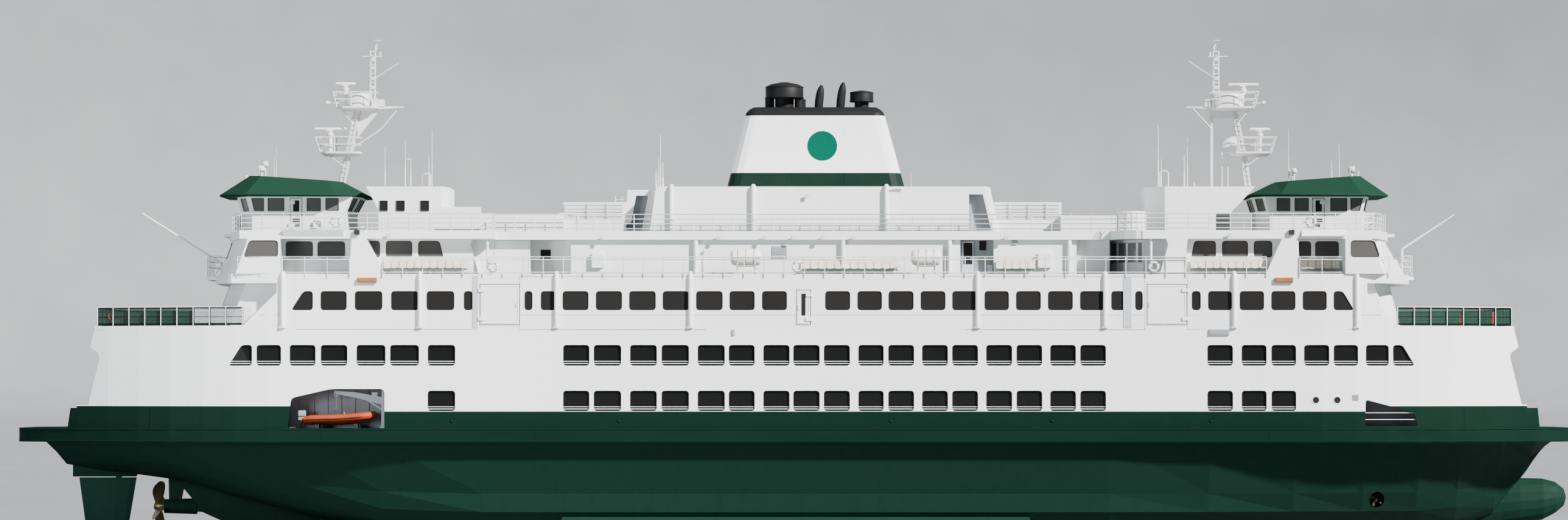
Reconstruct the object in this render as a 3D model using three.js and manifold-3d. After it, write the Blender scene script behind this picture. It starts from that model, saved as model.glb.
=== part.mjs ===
// Double-ended car ferry, scale model at 1:10, in millimetres.
// +X runs towards the end with the bulb, +Y to port, +Z up.
// The origin is amidships on the centreline, at the waterline.
import * as THREE from 'three';
import { mergeVertices } from 'three/addons/utils/BufferGeometryUtils.js';
import Module from 'manifold-3d';

const wasm = await Module();
wasm.setup();

// Driving sizes of the ship
const SHIP = { halfLength: 5520, halfBeam: 1265, endHalfBeam: 560, taperStart: 3600, draft: 549 };
const GAP = 0.3;
const PIN_GAP = 0.5;

// Heights of the decks and levels
const LEVEL = {
  hullTop: 106, guardTop: 205, galleryFloor: 562, plateTop: 897, cabinFloor: 922, cabinTop: 1218,
  sunDeck: 1284, houseTop: 1528, bridgeDeck: 1588, upperTop: 1905,
};
const PLATE = { inset: 50, thick: 28 };
const WALL = 25;
const SIDES = [{ name: 'starboard', sign: -1 }, { name: 'port', sign: 1 }];

// Colours and finishes by material
const FINISH = {
  hullPaint: { color: 0x1c332b, roughness: 0.55, metalness: 0.1 },
  greenPaint: { color: 0x234a3a, roughness: 0.5, metalness: 0.1 },
  whitePaint: { color: 0xdfe1e0, roughness: 0.45, metalness: 0.1 },
  deckPaint: { color: 0x3f6553, roughness: 0.7, metalness: 0.1 },
  blackPaint: { color: 0x2b2b2b, roughness: 0.6, metalness: 0.1 },
  greyPaint: { color: 0x8a8f90, roughness: 0.5, metalness: 0.2 },
  orange: { color: 0xd8521c, roughness: 0.5, metalness: 0.0 },
  bronze: { color: 0x6e6143, roughness: 0.35, metalness: 0.9 },
  raftWhite: { color: 0xe8e6df, roughness: 0.35, metalness: 0.0 },
};

// Turns a three.js geometry into a closed solid that can be joined and cut
function solidOf(geometry) {
  const bare = geometry.clone();
  bare.deleteAttribute('normal');
  bare.deleteAttribute('uv');
  const merged = mergeVertices(bare, 1e-3);
  const index = merged.index.array;
  const kept = [];
  for (let i = 0; i < index.length; i += 3) {
    const [a, b, c] = [index[i], index[i + 1], index[i + 2]];
    if (a !== b && b !== c && c !== a) kept.push(a, b, c);
  }
  return new wasm.Manifold(new wasm.Mesh({
    numProp: 3,
    vertProperties: new Float32Array(merged.attributes.position.array),
    triVerts: new Uint32Array(kept),
  }));
}

// Turns a solid back into a geometry
function geometryOf(solid) {
  const { vertProperties, triVerts } = solid.getMesh();
  const geometry = new THREE.BufferGeometry();
  geometry.setAttribute('position', new THREE.BufferAttribute(new Float32Array(vertProperties), 3));
  geometry.setIndex(new THREE.BufferAttribute(new Uint32Array(triVerts), 1));
  geometry.computeVertexNormals();
  return geometry;
}

const join = (...solids) => solids.flat().reduce((all, one) => all.add(one));
const cut = (solid, ...tools) => tools.flat().reduce((left, tool) => left.subtract(tool), solid);

// A block from its lowest to its highest corner
function block([x0, x1], [y0, y1], [z0, z1]) {
  const geometry = new THREE.BoxGeometry(x1 - x0, y1 - y0, z1 - z0);
  geometry.translate((x0 + x1) / 2, (y0 + y1) / 2, (z0 + z1) / 2);
  return solidOf(geometry);
}

// A shape through points, with a corner rounded where the point has a third value, its radius
function shapeOf(points) {
  const shape = new THREE.Shape();
  const count = points.length;
  points.forEach(([x, y, radius = 0], i) => {
    if (!radius) {
      if (i === 0) shape.moveTo(x, y);
      else shape.lineTo(x, y);
      return;
    }
    const [px, py] = points[(i + count - 1) % count];
    const [nx, ny] = points[(i + 1) % count];
    const before = Math.hypot(px - x, py - y);
    const after = Math.hypot(nx - x, ny - y);
    const enter = [x + ((px - x) * radius) / before, y + ((py - y) * radius) / before];
    const leave = [x + ((nx - x) * radius) / after, y + ((ny - y) * radius) / after];
    if (i === 0) shape.moveTo(...enter);
    else shape.lineTo(...enter);
    shape.quadraticCurveTo(x, y, ...leave);
  });
  shape.closePath();
  return shape;
}

// Extrusions of an outline: a plan outline (x, y) upwards, a side outline (x, z) along Y,
// and a cross outline (y, z) along X
const BASIS = {
  plan: new THREE.Matrix4(),
  side: new THREE.Matrix4().makeBasis(
    new THREE.Vector3(1, 0, 0), new THREE.Vector3(0, 0, 1), new THREE.Vector3(0, -1, 0)),
  cross: new THREE.Matrix4().makeBasis(
    new THREE.Vector3(0, 1, 0), new THREE.Vector3(0, 0, 1), new THREE.Vector3(1, 0, 0)),
};

function extrude(points, depth, basis, shift, curveSegments) {
  const geometry = new THREE.ExtrudeGeometry(shapeOf(points), { depth, curveSegments, bevelEnabled: false });
  geometry.applyMatrix4(basis);
  geometry.translate(...shift);
  return solidOf(geometry);
}

const planPrism = (points, [z0, z1], steps = 4) =>
  extrude(points, z1 - z0, BASIS.plan, [0, 0, z0], steps);
const sidePrism = (points, [y0, y1], steps = 4) =>
  extrude(points, y1 - y0, BASIS.side, [0, y1, 0], steps);
const crossPrism = (points, [x0, x1], steps = 4) =>
  extrude(points, x1 - x0, BASIS.cross, [x0, 0, 0], steps);

// A loft through rings of equally many points, closed by a fan at both ends
function loft(rings) {
  const size = rings[0].length;
  const positions = rings.flat().flat();
  const index = [];
  for (let r = 0; r < rings.length - 1; r += 1) {
    for (let i = 0; i < size; i += 1) {
      const a = r * size + i;
      const b = r * size + ((i + 1) % size);
      index.push(a, b, a + size, b, b + size, a + size);
    }
  }
  const last = (rings.length - 1) * size;
  for (let i = 1; i < size - 1; i += 1) {
    index.push(0, i + 1, i);
    index.push(last, last + i, last + i + 1);
  }
  const geometry = new THREE.BufferGeometry();
  geometry.setAttribute('position', new THREE.Float32BufferAttribute(positions, 3));
  geometry.setIndex(index);
  if (signedVolume(positions, index) < 0) {
    for (let i = 0; i < index.length; i += 3) [index[i], index[i + 1]] = [index[i + 1], index[i]];
    geometry.setIndex(index);
  }
  return solidOf(geometry);
}

function signedVolume(positions, index) {
  const at = (i) => new THREE.Vector3(...positions.slice(3 * i, 3 * i + 3));
  let volume = 0;
  for (let i = 0; i < index.length; i += 3) {
    volume += at(index[i]).dot(at(index[i + 1]).cross(at(index[i + 2])));
  }
  return volume;
}

// A round rod between two points, with a radius at each end
function rod(from, to, radius, endRadius = radius, sides = 8) {
  const start = new THREE.Vector3(...from);
  const end = new THREE.Vector3(...to);
  const along = end.clone().sub(start);
  const geometry = new THREE.CylinderGeometry(endRadius, radius, along.length(), sides);
  const turn = new THREE.Quaternion().setFromUnitVectors(
    new THREE.Vector3(0, 1, 0), along.clone().normalize());
  geometry.applyQuaternion(turn);
  const middle = start.add(end).multiplyScalar(0.5);
  geometry.translate(middle.x, middle.y, middle.z);
  return solidOf(geometry);
}

const ship = new THREE.Group();

function place(name, solid, finish, parent = ship, at = [0, 0, 0]) {
  const mesh = new THREE.Mesh(geometryOf(solid), new THREE.MeshStandardMaterial(FINISH[finish]));
  mesh.name = name;
  mesh.position.set(...at);
  parent.add(mesh);
  return mesh;
}

// Half-breadth of the guard, which narrows towards both ends
function guardHalf(x) {
  const past = Math.max(0, Math.abs(x) - SHIP.taperStart) / (SHIP.halfLength - SHIP.taperStart);
  return SHIP.halfBeam - (SHIP.halfBeam - SHIP.endHalfBeam) * past * past;
}

// Stations along the ship between two places, close together only where the side curves
function stations(from, to, step = 230) {
  const list = [from];
  for (let x = -SHIP.halfLength; x <= SHIP.halfLength; x += step) {
    if (x > from + step / 3 && x < to - step / 3 && Math.abs(x) > SHIP.taperStart) list.push(x);
  }
  for (const x of [-SHIP.taperStart, SHIP.taperStart]) {
    if (x > from && x < to) list.push(x);
  }
  list.push(to);
  return [...new Set(list)].sort((a, b) => a - b);
}

// Plan outline of a full-width deck whose edge lies inside the guard by an inset
function deckOutline(from, to, inset) {
  const xs = stations(from, to);
  const starboard = xs.map((x) => [x, -(guardHalf(x) - inset)]);
  const port = [...xs].reverse().map((x) => [x, guardHalf(x) - inset]);
  return [...starboard, ...port];
}

// A band that follows one side of the ship in plan
function sideBand(sign, from, to, inset, thick, heights) {
  const xs = stations(from, to);
  const outer = xs.map((x) => [x, sign * (guardHalf(x) - inset)]);
  const inner = [...xs].reverse().map((x) => [x, sign * (guardHalf(x) - inset - thick)]);
  const points = [...outer, ...inner];
  return planPrism(sign < 0 ? points : points.reverse(), heights);
}

// Underwater hull, with its bulb, skeg, shaft boss, rudder headbox, tunnel and bilge keels
const PROP = { x: -4572, z: -363, radius: 188, hub: 46, pin: 20 };
const RUDDER = { stockX: -4863, top: -156, bottom: -522, headbox: -150, pin: 22, pinRise: 50 };
const TUNNEL = { x: 4104, z: -301, radius: 56, propY: -700, pin: 6 };

function hullSection([x, keel, flat, full, side, deck]) {
  const height = LEVEL.hullTop - keel;
  const turn = new THREE.QuadraticBezierCurve(
    new THREE.Vector2(flat, keel),
    new THREE.Vector2(flat + (side - flat) * full, keel),
    new THREE.Vector2(side, keel + 0.45 * height));
  const half = [...turn.getPoints(4).map((p) => [p.x, p.y]), [deck, LEVEL.hullTop]];
  const starboard = half.map(([y, z]) => [x, -y, z]);
  const port = [...half].reverse().map(([y, z]) => [x, y, z]);
  return [...starboard, ...port];
}

function buildHull() {
  // Columns: x, keel height, flat half-breadth, fullness of the bilge, side half-breadth, top half-breadth
  const sections = [
    [-5326, 92, 4, 0.5, 420, 470], [-5232, -61, 6, 0.5, 300, 560], [-5000, -100, 20, 0.5, 470, 700],
    [-4700, -136, 60, 0.55, 620, 850], [-4400, -176, 100, 0.6, 760, 970], [-4000, -290, 160, 0.7, 880, 1080],
    [-3500, -420, 260, 0.8, 960, 1150], [-2900, -520, 420, 0.9, 1010, 1195],
    [-2200, -SHIP.draft, 560, 1, 1040, 1200], [2200, -SHIP.draft, 560, 1, 1040, 1200],
    [2900, -SHIP.draft, 420, 0.95, 1010, 1195], [3500, -SHIP.draft, 280, 0.85, 940, 1150],
    [4000, -SHIP.draft, 160, 0.75, 830, 1080], [4400, -SHIP.draft, 90, 0.65, 690, 985],
    [4700, -520, 55, 0.6, 540, 880], [5000, -430, 30, 0.5, 340, 740], [5256, -110, 8, 0.5, 210, 600],
    [5378, 92, 4, 0.5, 380, 470],
  ];
  const body = loft(sections.map(hullSection));
  // Columns: x, centre height, half-width, half-height
  const bulbRings = [
    [4500, -350, 60, 180], [4900, -350, 112, 180], [5200, -325, 125, 165], [5373, -312, 112, 148],
    [5466, -300, 86, 112], [5527, -298, 48, 62], [5541, -298, 16, 20],
  ].map(([x, z, width, height]) => Array.from({ length: 16 }, (_, i) => {
    const angle = (i / 16) * 2 * Math.PI;
    return [x, width * Math.cos(angle), z + height * Math.sin(angle)];
  }));
  const bulb = loft(bulbRings);
  const skeg = sidePrism([
    [-4500, -120], [-4381, -249], [-4330, -310], [-4314, -400], [-4258, -405], [-4128, -463],
    [-3960, -SHIP.draft], [-2500, -SHIP.draft], [-2500, -400], [-4200, -100],
  ], [-45, 45]);
  const boss = rod([-4536, 0, PROP.z], [-4300, 0, PROP.z], 50, 58, 16);
  const strut = sidePrism([
    [-4505, -120], [-4500, -360], [-4420, -360], [-4373, -120]], [-18, 18]);
  const headbox = sidePrism([
    [-5188, -60], [-5188, RUDDER.headbox], [-4740, RUDDER.headbox], [-4700, -60]], [-48, 48]);
  const bilgeKeels = SIDES.map(({ sign }) => {
    const plate = [[960, -400], [1010, -480], [1022, -472], [880, -300]];
    const points = plate.map(([y, z]) => [sign * y, z]);
    return crossPrism(sign > 0 ? points : points.reverse(), [-1638, 1647]);
  });
  const pod = rod([TUNNEL.x, TUNNEL.propY + 22, TUNNEL.z],
    [TUNNEL.x, TUNNEL.propY + 130, TUNNEL.z], 17, 13, 12);
  const podLeg = block([TUNNEL.x - 8, TUNNEL.x + 8], [TUNNEL.propY + 50, TUNNEL.propY + 90],
    [TUNNEL.z, TUNNEL.z + TUNNEL.radius + 10]);
  const tunnel = rod([TUNNEL.x, -1100, TUNNEL.z], [TUNNEL.x, 1100, TUNNEL.z], TUNNEL.radius, TUNNEL.radius, 24);
  const shaftBore = rod([-4545, 0, PROP.z], [-4490, 0, PROP.z], PROP.pin + PIN_GAP, PROP.pin + PIN_GAP, 16);
  const stockBore = rod([RUDDER.stockX, 0, RUDDER.headbox - 5],
    [RUDDER.stockX, 0, RUDDER.headbox + RUDDER.pinRise + 6], RUDDER.pin + PIN_GAP, RUDDER.pin + PIN_GAP, 16);
  const podBore = rod([TUNNEL.x, TUNNEL.propY + 20, TUNNEL.z], [TUNNEL.x, TUNNEL.propY + 50, TUNNEL.z],
    TUNNEL.pin + PIN_GAP, TUNNEL.pin + PIN_GAP, 12);
  const shell = join(cut(join(body, bulb), tunnel), skeg, boss, strut, headbox, bilgeKeels, pod, podLeg);
  return cut(shell, shaftBore, stockBore, podBore);
}

// A blade: an oval plate raked to its pitch, standing out from the axis along +Z
function blade(root, tip, halfChord, thick, pitch) {
  const middle = (root + tip) / 2;
  const half = (tip - root) / 2;
  const points = Array.from({ length: 14 }, (_, i) => {
    const angle = (i / 14) * 2 * Math.PI;
    return [halfChord * Math.cos(angle), middle + half * Math.sin(angle)];
  });
  const plate = sidePrism(points, [-thick / 2, thick / 2]);
  return plate.rotate([0, 0, pitch]);
}

// A propeller about the X axis, its centre at the origin
function screw({ radius, hub, blades, halfChord, thick, pin, pinLength, hubHalf }) {
  const boss = rod([-hubHalf * 1.4, 0, 0], [hubHalf, 0, 0], hub * 0.55, hub, 16);
  const shaft = rod([0, 0, 0], [hubHalf + pinLength, 0, 0], pin, pin, 16);
  const wings = Array.from({ length: blades }, (_, i) =>
    blade(hub * 0.5, radius, halfChord, thick, 52).rotate([(360 / blades) * i + 20, 0, 0]));
  return join(boss, shaft, wings);
}

// Rudder with its stock, the foil thickest a third of the way back
function buildRudder() {
  // Columns: height, trailing edge, leading edge, half-thickness
  const rings = [[RUDDER.bottom, -5097, -4795, 20], [RUDDER.top, -5148, -4735, 30]]
    .map(([z, tail, nose, half]) => {
      const length = nose - tail;
      const profile = [[0, 2], [0.35, 0.75 * half], [0.65, half], [0.9, 0.7 * half], [1, 0.15 * half]];
      const right = profile.map(([t, y]) => [tail + t * length, -y, z]);
      const left = [...profile].reverse().map(([t, y]) => [tail + t * length, y, z]);
      return [...right, ...left];
    });
  const foil = loft(rings);
  const stock = rod([RUDDER.stockX, 0, RUDDER.top - 10],
    [RUDDER.stockX, 0, RUDDER.headbox + RUDDER.pinRise], RUDDER.pin, RUDDER.pin, 16);
  return join(foil, stock).translate([-RUDDER.stockX, 0, 0]);
}

// Car deck: the guard with its rounded ends
function buildCarDeck() {
  const xs = stations(-SHIP.halfLength, SHIP.halfLength);
  const corner = 130;
  const edge = xs.map((x) => [x, -guardHalf(x), Math.abs(x) === SHIP.halfLength ? corner : 0]);
  const back = [...edge].reverse().map(([x, y, r]) => [x, -y, r]);
  return planPrism([...edge, ...back], [LEVEL.hullTop + GAP, LEVEL.guardTop]);
}

// Openings along the side of the car deck. Columns: x, width
const UPPER_ROW = [
  [-3763, 175], [-3531, 184], [-3314, 189], [-3064, 205], [-2830, 205], [-2567, 195], [-1622, 186],
  [-1408, 194], [-1155, 190], [-935, 194], [-683, 192], [-466, 184], [-225, 186], [-16, 187], [198, 184],
  [438, 180], [647, 183], [883, 183], [1093, 183], [1330, 184], [1542, 182], [1777, 182], [1987, 182],
  [2874, 181], [3113, 177], [3321, 175], [3549, 179], [3756, 175], [3983, 166],
];
const LOWER_ROW = UPPER_ROW.filter(([x]) => x > -2600 && x < 3400);
const UPPER_HEIGHTS = [641, 788];
const LOWER_HEIGHTS = [324, 469];
// The rows end in an opening with one slanted edge. Points: x, z
const UPPER_ENDS = [
  [[-3962, 641], [-3791, 641], [-3791, 788], [-3867, 788]],
  [[4177, 641], [4338, 641], [4248, 788], [4177, 788]],
];
const BOAT_BAY = [[-3545, 190], [-2866, 190], [-2866, 480, 30], [-3242, 480, 30], [-3521, 416, 30]];
const MOORING_BAY = [[3979, 222], [4352, 222], [4328, 317, 20], [3982, 405, 20]];
// The plating's end outline with its overhang, from the guard up. Points: x, z
const SHELL_END = {
  left: [[-5136, 205.3], [-5114, 346], [-5067, 346], [-5062, 368], [-4978, 368], [-4893, 702, 14],
    [-4905, 733, 12], [-4967, 775, 12], [-4932, 897]],
  right: [[5266, 205.3], [5251, 346], [5170, 346], [5165, 370], [5127, 370], [5040, 702, 14],
    [5046, 733, 12], [5105, 775, 12], [5072, 897]],
};

function buildSideShell(sign) {
  const heights = [LEVEL.guardTop + GAP, LEVEL.plateTop - GAP];
  const band = sideBand(sign, -5180, 5300, PLATE.inset, PLATE.thick, heights);
  const outline = sidePrism([...SHELL_END.left, ...[...SHELL_END.right].reverse()], [-1300, 1300]);
  const across = sign < 0 ? [-1300, -700] : [700, 1300];
  const rows = [
    ...UPPER_ROW.map(([x, width]) => block([x, x + width], across, UPPER_HEIGHTS)),
    ...LOWER_ROW.map(([x, width]) => block([x, x + width], across, LOWER_HEIGHTS)),
    ...[...UPPER_ENDS, BOAT_BAY, MOORING_BAY].map((points) => sidePrism(points, across, 2)),
  ];
  return cut(band.intersect(outline), rows);
}

// Centre casing between the car lanes, with pointed ends
const CASING = { from: -3650, to: 3650, half: 180, nose: 160 };

function buildCasing() {
  const { from, to, half, nose } = CASING;
  return planPrism([
    [from, -60], [from + nose, -half], [to - nose, -half], [to, -60],
    [to, 60], [to - nose, half], [from + nose, half], [from, 60],
  ], [LEVEL.guardTop + GAP, LEVEL.plateTop - GAP]);
}

// Gallery deck on each wing, with posts that hang it from the deck above
const GALLERY = { from: -2150, to: 2150, inner: 700, thick: 24, postStep: 860 };

function buildGallery(sign) {
  const outer = SHIP.halfBeam - PLATE.inset - PLATE.thick - GAP;
  const span = (a, b) => (sign < 0 ? [-b, -a] : [a, b]);
  const slab = block([GALLERY.from, GALLERY.to], span(GALLERY.inner, outer),
    [LEVEL.galleryFloor - GALLERY.thick, LEVEL.galleryFloor]);
  const posts = Array.from({ length: 6 }, (_, i) => GALLERY.from + i * GALLERY.postStep)
    .map((x) => Math.min(x, GALLERY.to - 14))
    .map((x) => block([x, x + 14], span(GALLERY.inner, GALLERY.inner + 14),
      [LEVEL.galleryFloor - GALLERY.thick, LEVEL.plateTop - GAP]));
  return join(slab, posts);
}

const PASSENGER_DECK = { from: -4932, to: 5072 };

function buildPassengerDeck() {
  return planPrism(deckOutline(PASSENGER_DECK.from, PASSENGER_DECK.to, PLATE.inset),
    [LEVEL.plateTop, LEVEL.cabinFloor - GAP]);
}

// Passenger cabin: windows and doors in the long sides. Columns: x, width
const CABIN_WINDOWS = [
  [-3316, 186], [-3077, 196], [-2824, 194], [-2576, 197], [-2316, 66], [-1892, 59], [-1779, 107],
  [-1627, 185], [-1395, 187], [-1162, 189], [-928, 187], [-695, 189], [-462, 180], [-235, 178],
  [206, 178], [431, 175], [648, 179], [872, 177], [1093, 176], [1318, 174], [1538, 177], [1761, 177],
  [1985, 172], [2203, 104], [2370, 56], [2765, 66], [2879, 169], [3099, 174], [3320, 172], [3539, 172],
];
const CABIN_WINDOW_HEIGHTS = [1027, 1164];
const CABIN_WINDOW_ENDS = [
  [[-3523, 1027], [-3366, 1027], [-3366, 1164], [-3435, 1164]],
  [[3756, 1027], [3905, 1027], [3823, 1164], [3756, 1164]],
];
// Hinged doors in the long sides. Columns: name, x, width, foot, head, which end has the hinges
const SIDE_DOORS = [
  { name: 'shell_door_left', x: -2199, width: 272, foot: 930, head: 1206, hinge: -1 },
  { name: 'midship_door', x: 9, width: 95, foot: 930, head: 1168, hinge: 1 },
  { name: 'shell_door_right', x: 2456, width: 274, foot: 930, head: 1206, hinge: 1 },
];
const DOOR = { gap: 5, thick: 20, knuckle: 5, knuckleGap: 0.5, jamb: 11 };
const doorHole = ({ x, width, foot, head }, across) =>
  block([x - DOOR.gap, x + width + DOOR.gap], across, [foot - DOOR.gap, head + DOOR.gap]);
// The cabin's ends: half-breadth, where the front stands at its foot and head, and its shoulder
const CABIN_END = {
  half: 1090, cornerX: { left: -3600, right: 3980 },
  left: { foot: -4147, head: -4040, shoulder: 190 }, right: { foot: 4322, head: 4245, shoulder: 190 },
};

function cabinFront(side, inset) {
  const dir = side === 'left' ? -1 : 1;
  const { foot, head, shoulder } = CABIN_END[side];
  const half = CABIN_END.half - inset;
  const back = CABIN_END.cornerX[side] - dir * (60 + inset);
  const ring = (x, z) => [
    [back, -half, z], [x - dir * shoulder, -half, z], [x - dir * 60, -half * 0.72, z], [x, -half * 0.3, z],
    [x, half * 0.3, z], [x - dir * 60, half * 0.72, z], [x - dir * shoulder, half, z], [back, half, z],
  ];
  const low = LEVEL.cabinFloor - (inset ? 5 : 0);
  const high = LEVEL.cabinTop - (inset ? -5 : GAP);
  return loft([ring(foot - dir * inset, low), ring(head - dir * inset, high)]);
}

function buildCabin() {
  const heights = [LEVEL.cabinFloor, LEVEL.cabinTop - GAP];
  const { left, right } = CABIN_END.cornerX;
  const outer = join(planPrism(deckOutline(left, right, PLATE.inset), heights),
    cabinFront('left', 0), cabinFront('right', 0));
  const inner = join(
    planPrism(deckOutline(left + WALL, right - WALL, PLATE.inset + WALL), [heights[0] - 5, heights[1] + 5]),
    cabinFront('left', WALL), cabinFront('right', WALL));
  const wingOutline = [[-3858, heights[0]], [4209, heights[0]], [3995, 1154], [3995, heights[1]],
    [-3620, heights[1]], [-3620, 1154]];
  const wings = SIDES.map(({ sign }) =>
    sideBand(sign, -3900, 4250, PLATE.inset, WALL, heights).intersect(sidePrism(wingOutline, [-1300, 1300])));
  const through = [-1300, 1300];
  const holes = [
    ...CABIN_WINDOWS.map(([x, width]) => block([x, x + width], through, CABIN_WINDOW_HEIGHTS)),
    ...CABIN_WINDOW_ENDS.map((points) => sidePrism(points, through)),
    ...SIDE_DOORS.map((door) => doorHole(door, through)),
  ];
  const frontWindows = [-2, -1, 0, 1, 2].flatMap((i) => [[-4300, -3850], [4080, 4450]]
    .map((span) => block(span, [i * 270 - 95, i * 270 + 95], CABIN_WINDOW_HEIGHTS)));
  return cut(join(cut(outer, inner), wings), holes, frontWindows);
}

// A door about its own hinge line, which stands on the jamb; closed it fills its opening
function buildDoor({ width, foot, head, hinge }, sign) {
  const outward = DOOR.knuckle + DOOR.knuckleGap;
  const side = (near, far) => (sign < 0 ? [near, far] : [-far, -near]);
  const along = (near, far) => (hinge < 0 ? [near, far] : [-far, -near]);
  const leaf = block(along(DOOR.jamb, DOOR.jamb + width), side(outward, outward + DOOR.thick),
    [0, head - foot]);
  const hinges = [0.1, 0.82].map((t) => {
    const z = [t * (head - foot), t * (head - foot) + 24];
    const pin = rod([0, 0, z[0]], [0, 0, z[1]], DOOR.knuckle, DOOR.knuckle, 10);
    const strap = block(along(0, DOOR.jamb + 30), side(-4, 3), z);
    const foot_ = block(along(DOOR.jamb + 1, DOOR.jamb + 30), side(-4, outward + 3), z);
    return join(pin, strap, foot_);
  });
  return join(leaf, hinges);
}

function placeDoor(door, half) {
  for (const { name, sign } of SIDES) {
    const hingeX = door.hinge < 0 ? door.x - DOOR.jamb : door.x + door.width + DOOR.jamb;
    const skin = half + DOOR.knuckle + DOOR.knuckleGap;
    place(`${door.name}_${name}`, buildDoor(door, sign), 'whitePaint', ship, [hingeX, sign * skin, door.foot]);
  }
}

// Sun deck with its deep edge, and a small platform at each end
const SUN_DECK = { from: -3939, to: 4215 };

function buildSunDeck() {
  const heights = [LEVEL.cabinTop, LEVEL.sunDeck];
  const main = planPrism(deckOutline(SUN_DECK.from, SUN_DECK.to, PLATE.inset), heights);
  const lobes = [[-3700, -4099, -4216], [3980, 4341, 4429]].map(([back, front, tip]) => {
    const dir = Math.sign(front);
    return join(
      planPrism(fixTurn([[back, -1150], [front - dir * 130, -1120], [front, -700], [front, 700],
        [front - dir * 130, 1120], [back, 1150]]), heights),
      planPrism(fixTurn([[back, -260], [tip, -220], [tip, 220], [back, 260]]), [heights[1] - 26, heights[1]]));
  });
  return join(main, lobes);
}

// Puts a plan outline's points in counter-clockwise order
function fixTurn(points) {
  const area = points.reduce((sum, [x, y], i) => {
    const [nx, ny] = points[(i + 1) % points.length];
    return sum + x * ny - nx * y;
  }, 0);
  return area < 0 ? [...points].reverse() : points;
}

// Houses at the ends of the sun deck: a full-width front room, a bay with a narrower room behind
// it, a slanted pillar, a long room with a narrow promenade along it, and an arch at its inner end
const SUN_HOUSE = {
  left: {
    dir: -1, frontFoot: -4094, frontHead: -4006, cornerFoot: -3968, cornerHead: -3883, roomEnd: -3595,
    pillarX: -2990, inner: -2126,
    pillar: [[-3098, 1527.7], [-2992, 1527.7], [-2869, 1284.3], [-3115, 1284.3]],
    archEdge: [[-2214, 1284.3], [-2248, 1400], [-2279, 1490], [-2266, 1527.7]],
    windows: [[-3010, -3010, -2904, -2904], [-2867, -2867, -2679, -2679], [-2641, -2641, -2459, -2488]],
    bayWindows: [[-3581, -3581, -3386, -3386], [-3357, -3357, -3160, -3160]],
    frontWindow: [-3855, -3815, -3610, -3610],
  },
  right: {
    dir: 1, frontFoot: 4324, frontHead: 4200, cornerFoot: 4166, cornerHead: 4080, roomEnd: 3841,
    pillarX: 3400, inner: 2450,
    pillar: [[3512, 1527.7], [3398, 1527.7], [3286, 1284.3], [3520, 1284.3]],
    archEdge: [[2546, 1284.3], [2580, 1400], [2604, 1490], [2590, 1527.7]],
    windows: [[2768, 2790, 2946, 2946], [2985, 2985, 3170, 3170], [3207, 3207, 3340, 3340]],
    bayWindows: [[3530, 3530, 3625, 3625], [3650, 3650, 3820, 3820]],
    frontWindow: [3875, 3875, 4085, 4045],
    flushEnd: [[2740, 1527.7], [2715, 1284.3]],
  },
};
const SUN_WINDOW_HEIGHTS = [1397, 1518];
// Half-breadth of the rooms along the bay, the promenade and the arch
const SUN_HALF = { bay: 980, promenade: 1120, arch: 900 };

function frontRoom(house, inset) {
  const { dir, frontFoot, frontHead, cornerFoot, cornerHead, roomEnd } = house;
  const half = SHIP.halfBeam - PLATE.inset - inset;
  const back = roomEnd + dir * inset;
  const ring = (front, corner, z) => {
    const a = front - dir * inset;
    const b = corner - dir * inset;
    return [
      [back, -half, z], [b - dir * 60, -half, z], [b, -half * 0.9, z], [a, -half * 0.45, z],
      [a, half * 0.45, z], [b, half * 0.9, z], [b - dir * 60, half, z], [back, half, z],
    ];
  };
  const [low, high] = inset ? [LEVEL.sunDeck - 5, LEVEL.houseTop + 5]
    : [LEVEL.sunDeck + GAP, LEVEL.houseTop - GAP];
  return loft([ring(frontFoot, cornerFoot, low), ring(frontHead, cornerHead, high)]);
}

const ordered = (a, b) => [Math.min(a, b), Math.max(a, b)];

// The rooms behind the front room, one narrow, one wide and one narrow; an inset gives their hollow
function longRooms(house, inset) {
  const { dir, roomEnd, pillarX, archEdge, inner } = house;
  const heights = inset ? [LEVEL.sunDeck - 5, LEVEL.houseTop + 5] : [LEVEL.sunDeck + GAP, LEVEL.houseTop - GAP];
  const across = (half) => [-half + inset, half - inset];
  const edge = inset ? [[archEdge[2][0] + dir * inset, heights[0]], [archEdge[2][0] + dir * inset, heights[1]]]
    : archEdge;
  const start = pillarX + dir * (inset ? -inset : 20);
  return join(
    block(ordered(roomEnd + dir * (60 + inset), pillarX - dir * inset), across(SUN_HALF.bay), heights),
    sidePrism(fixTurn([[start, heights[0]], ...edge, [start, heights[1]]]), across(SUN_HALF.promenade)),
    block(ordered(archEdge[2][0] + dir * 60, inner + dir * inset), across(SUN_HALF.arch), heights));
}

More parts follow.
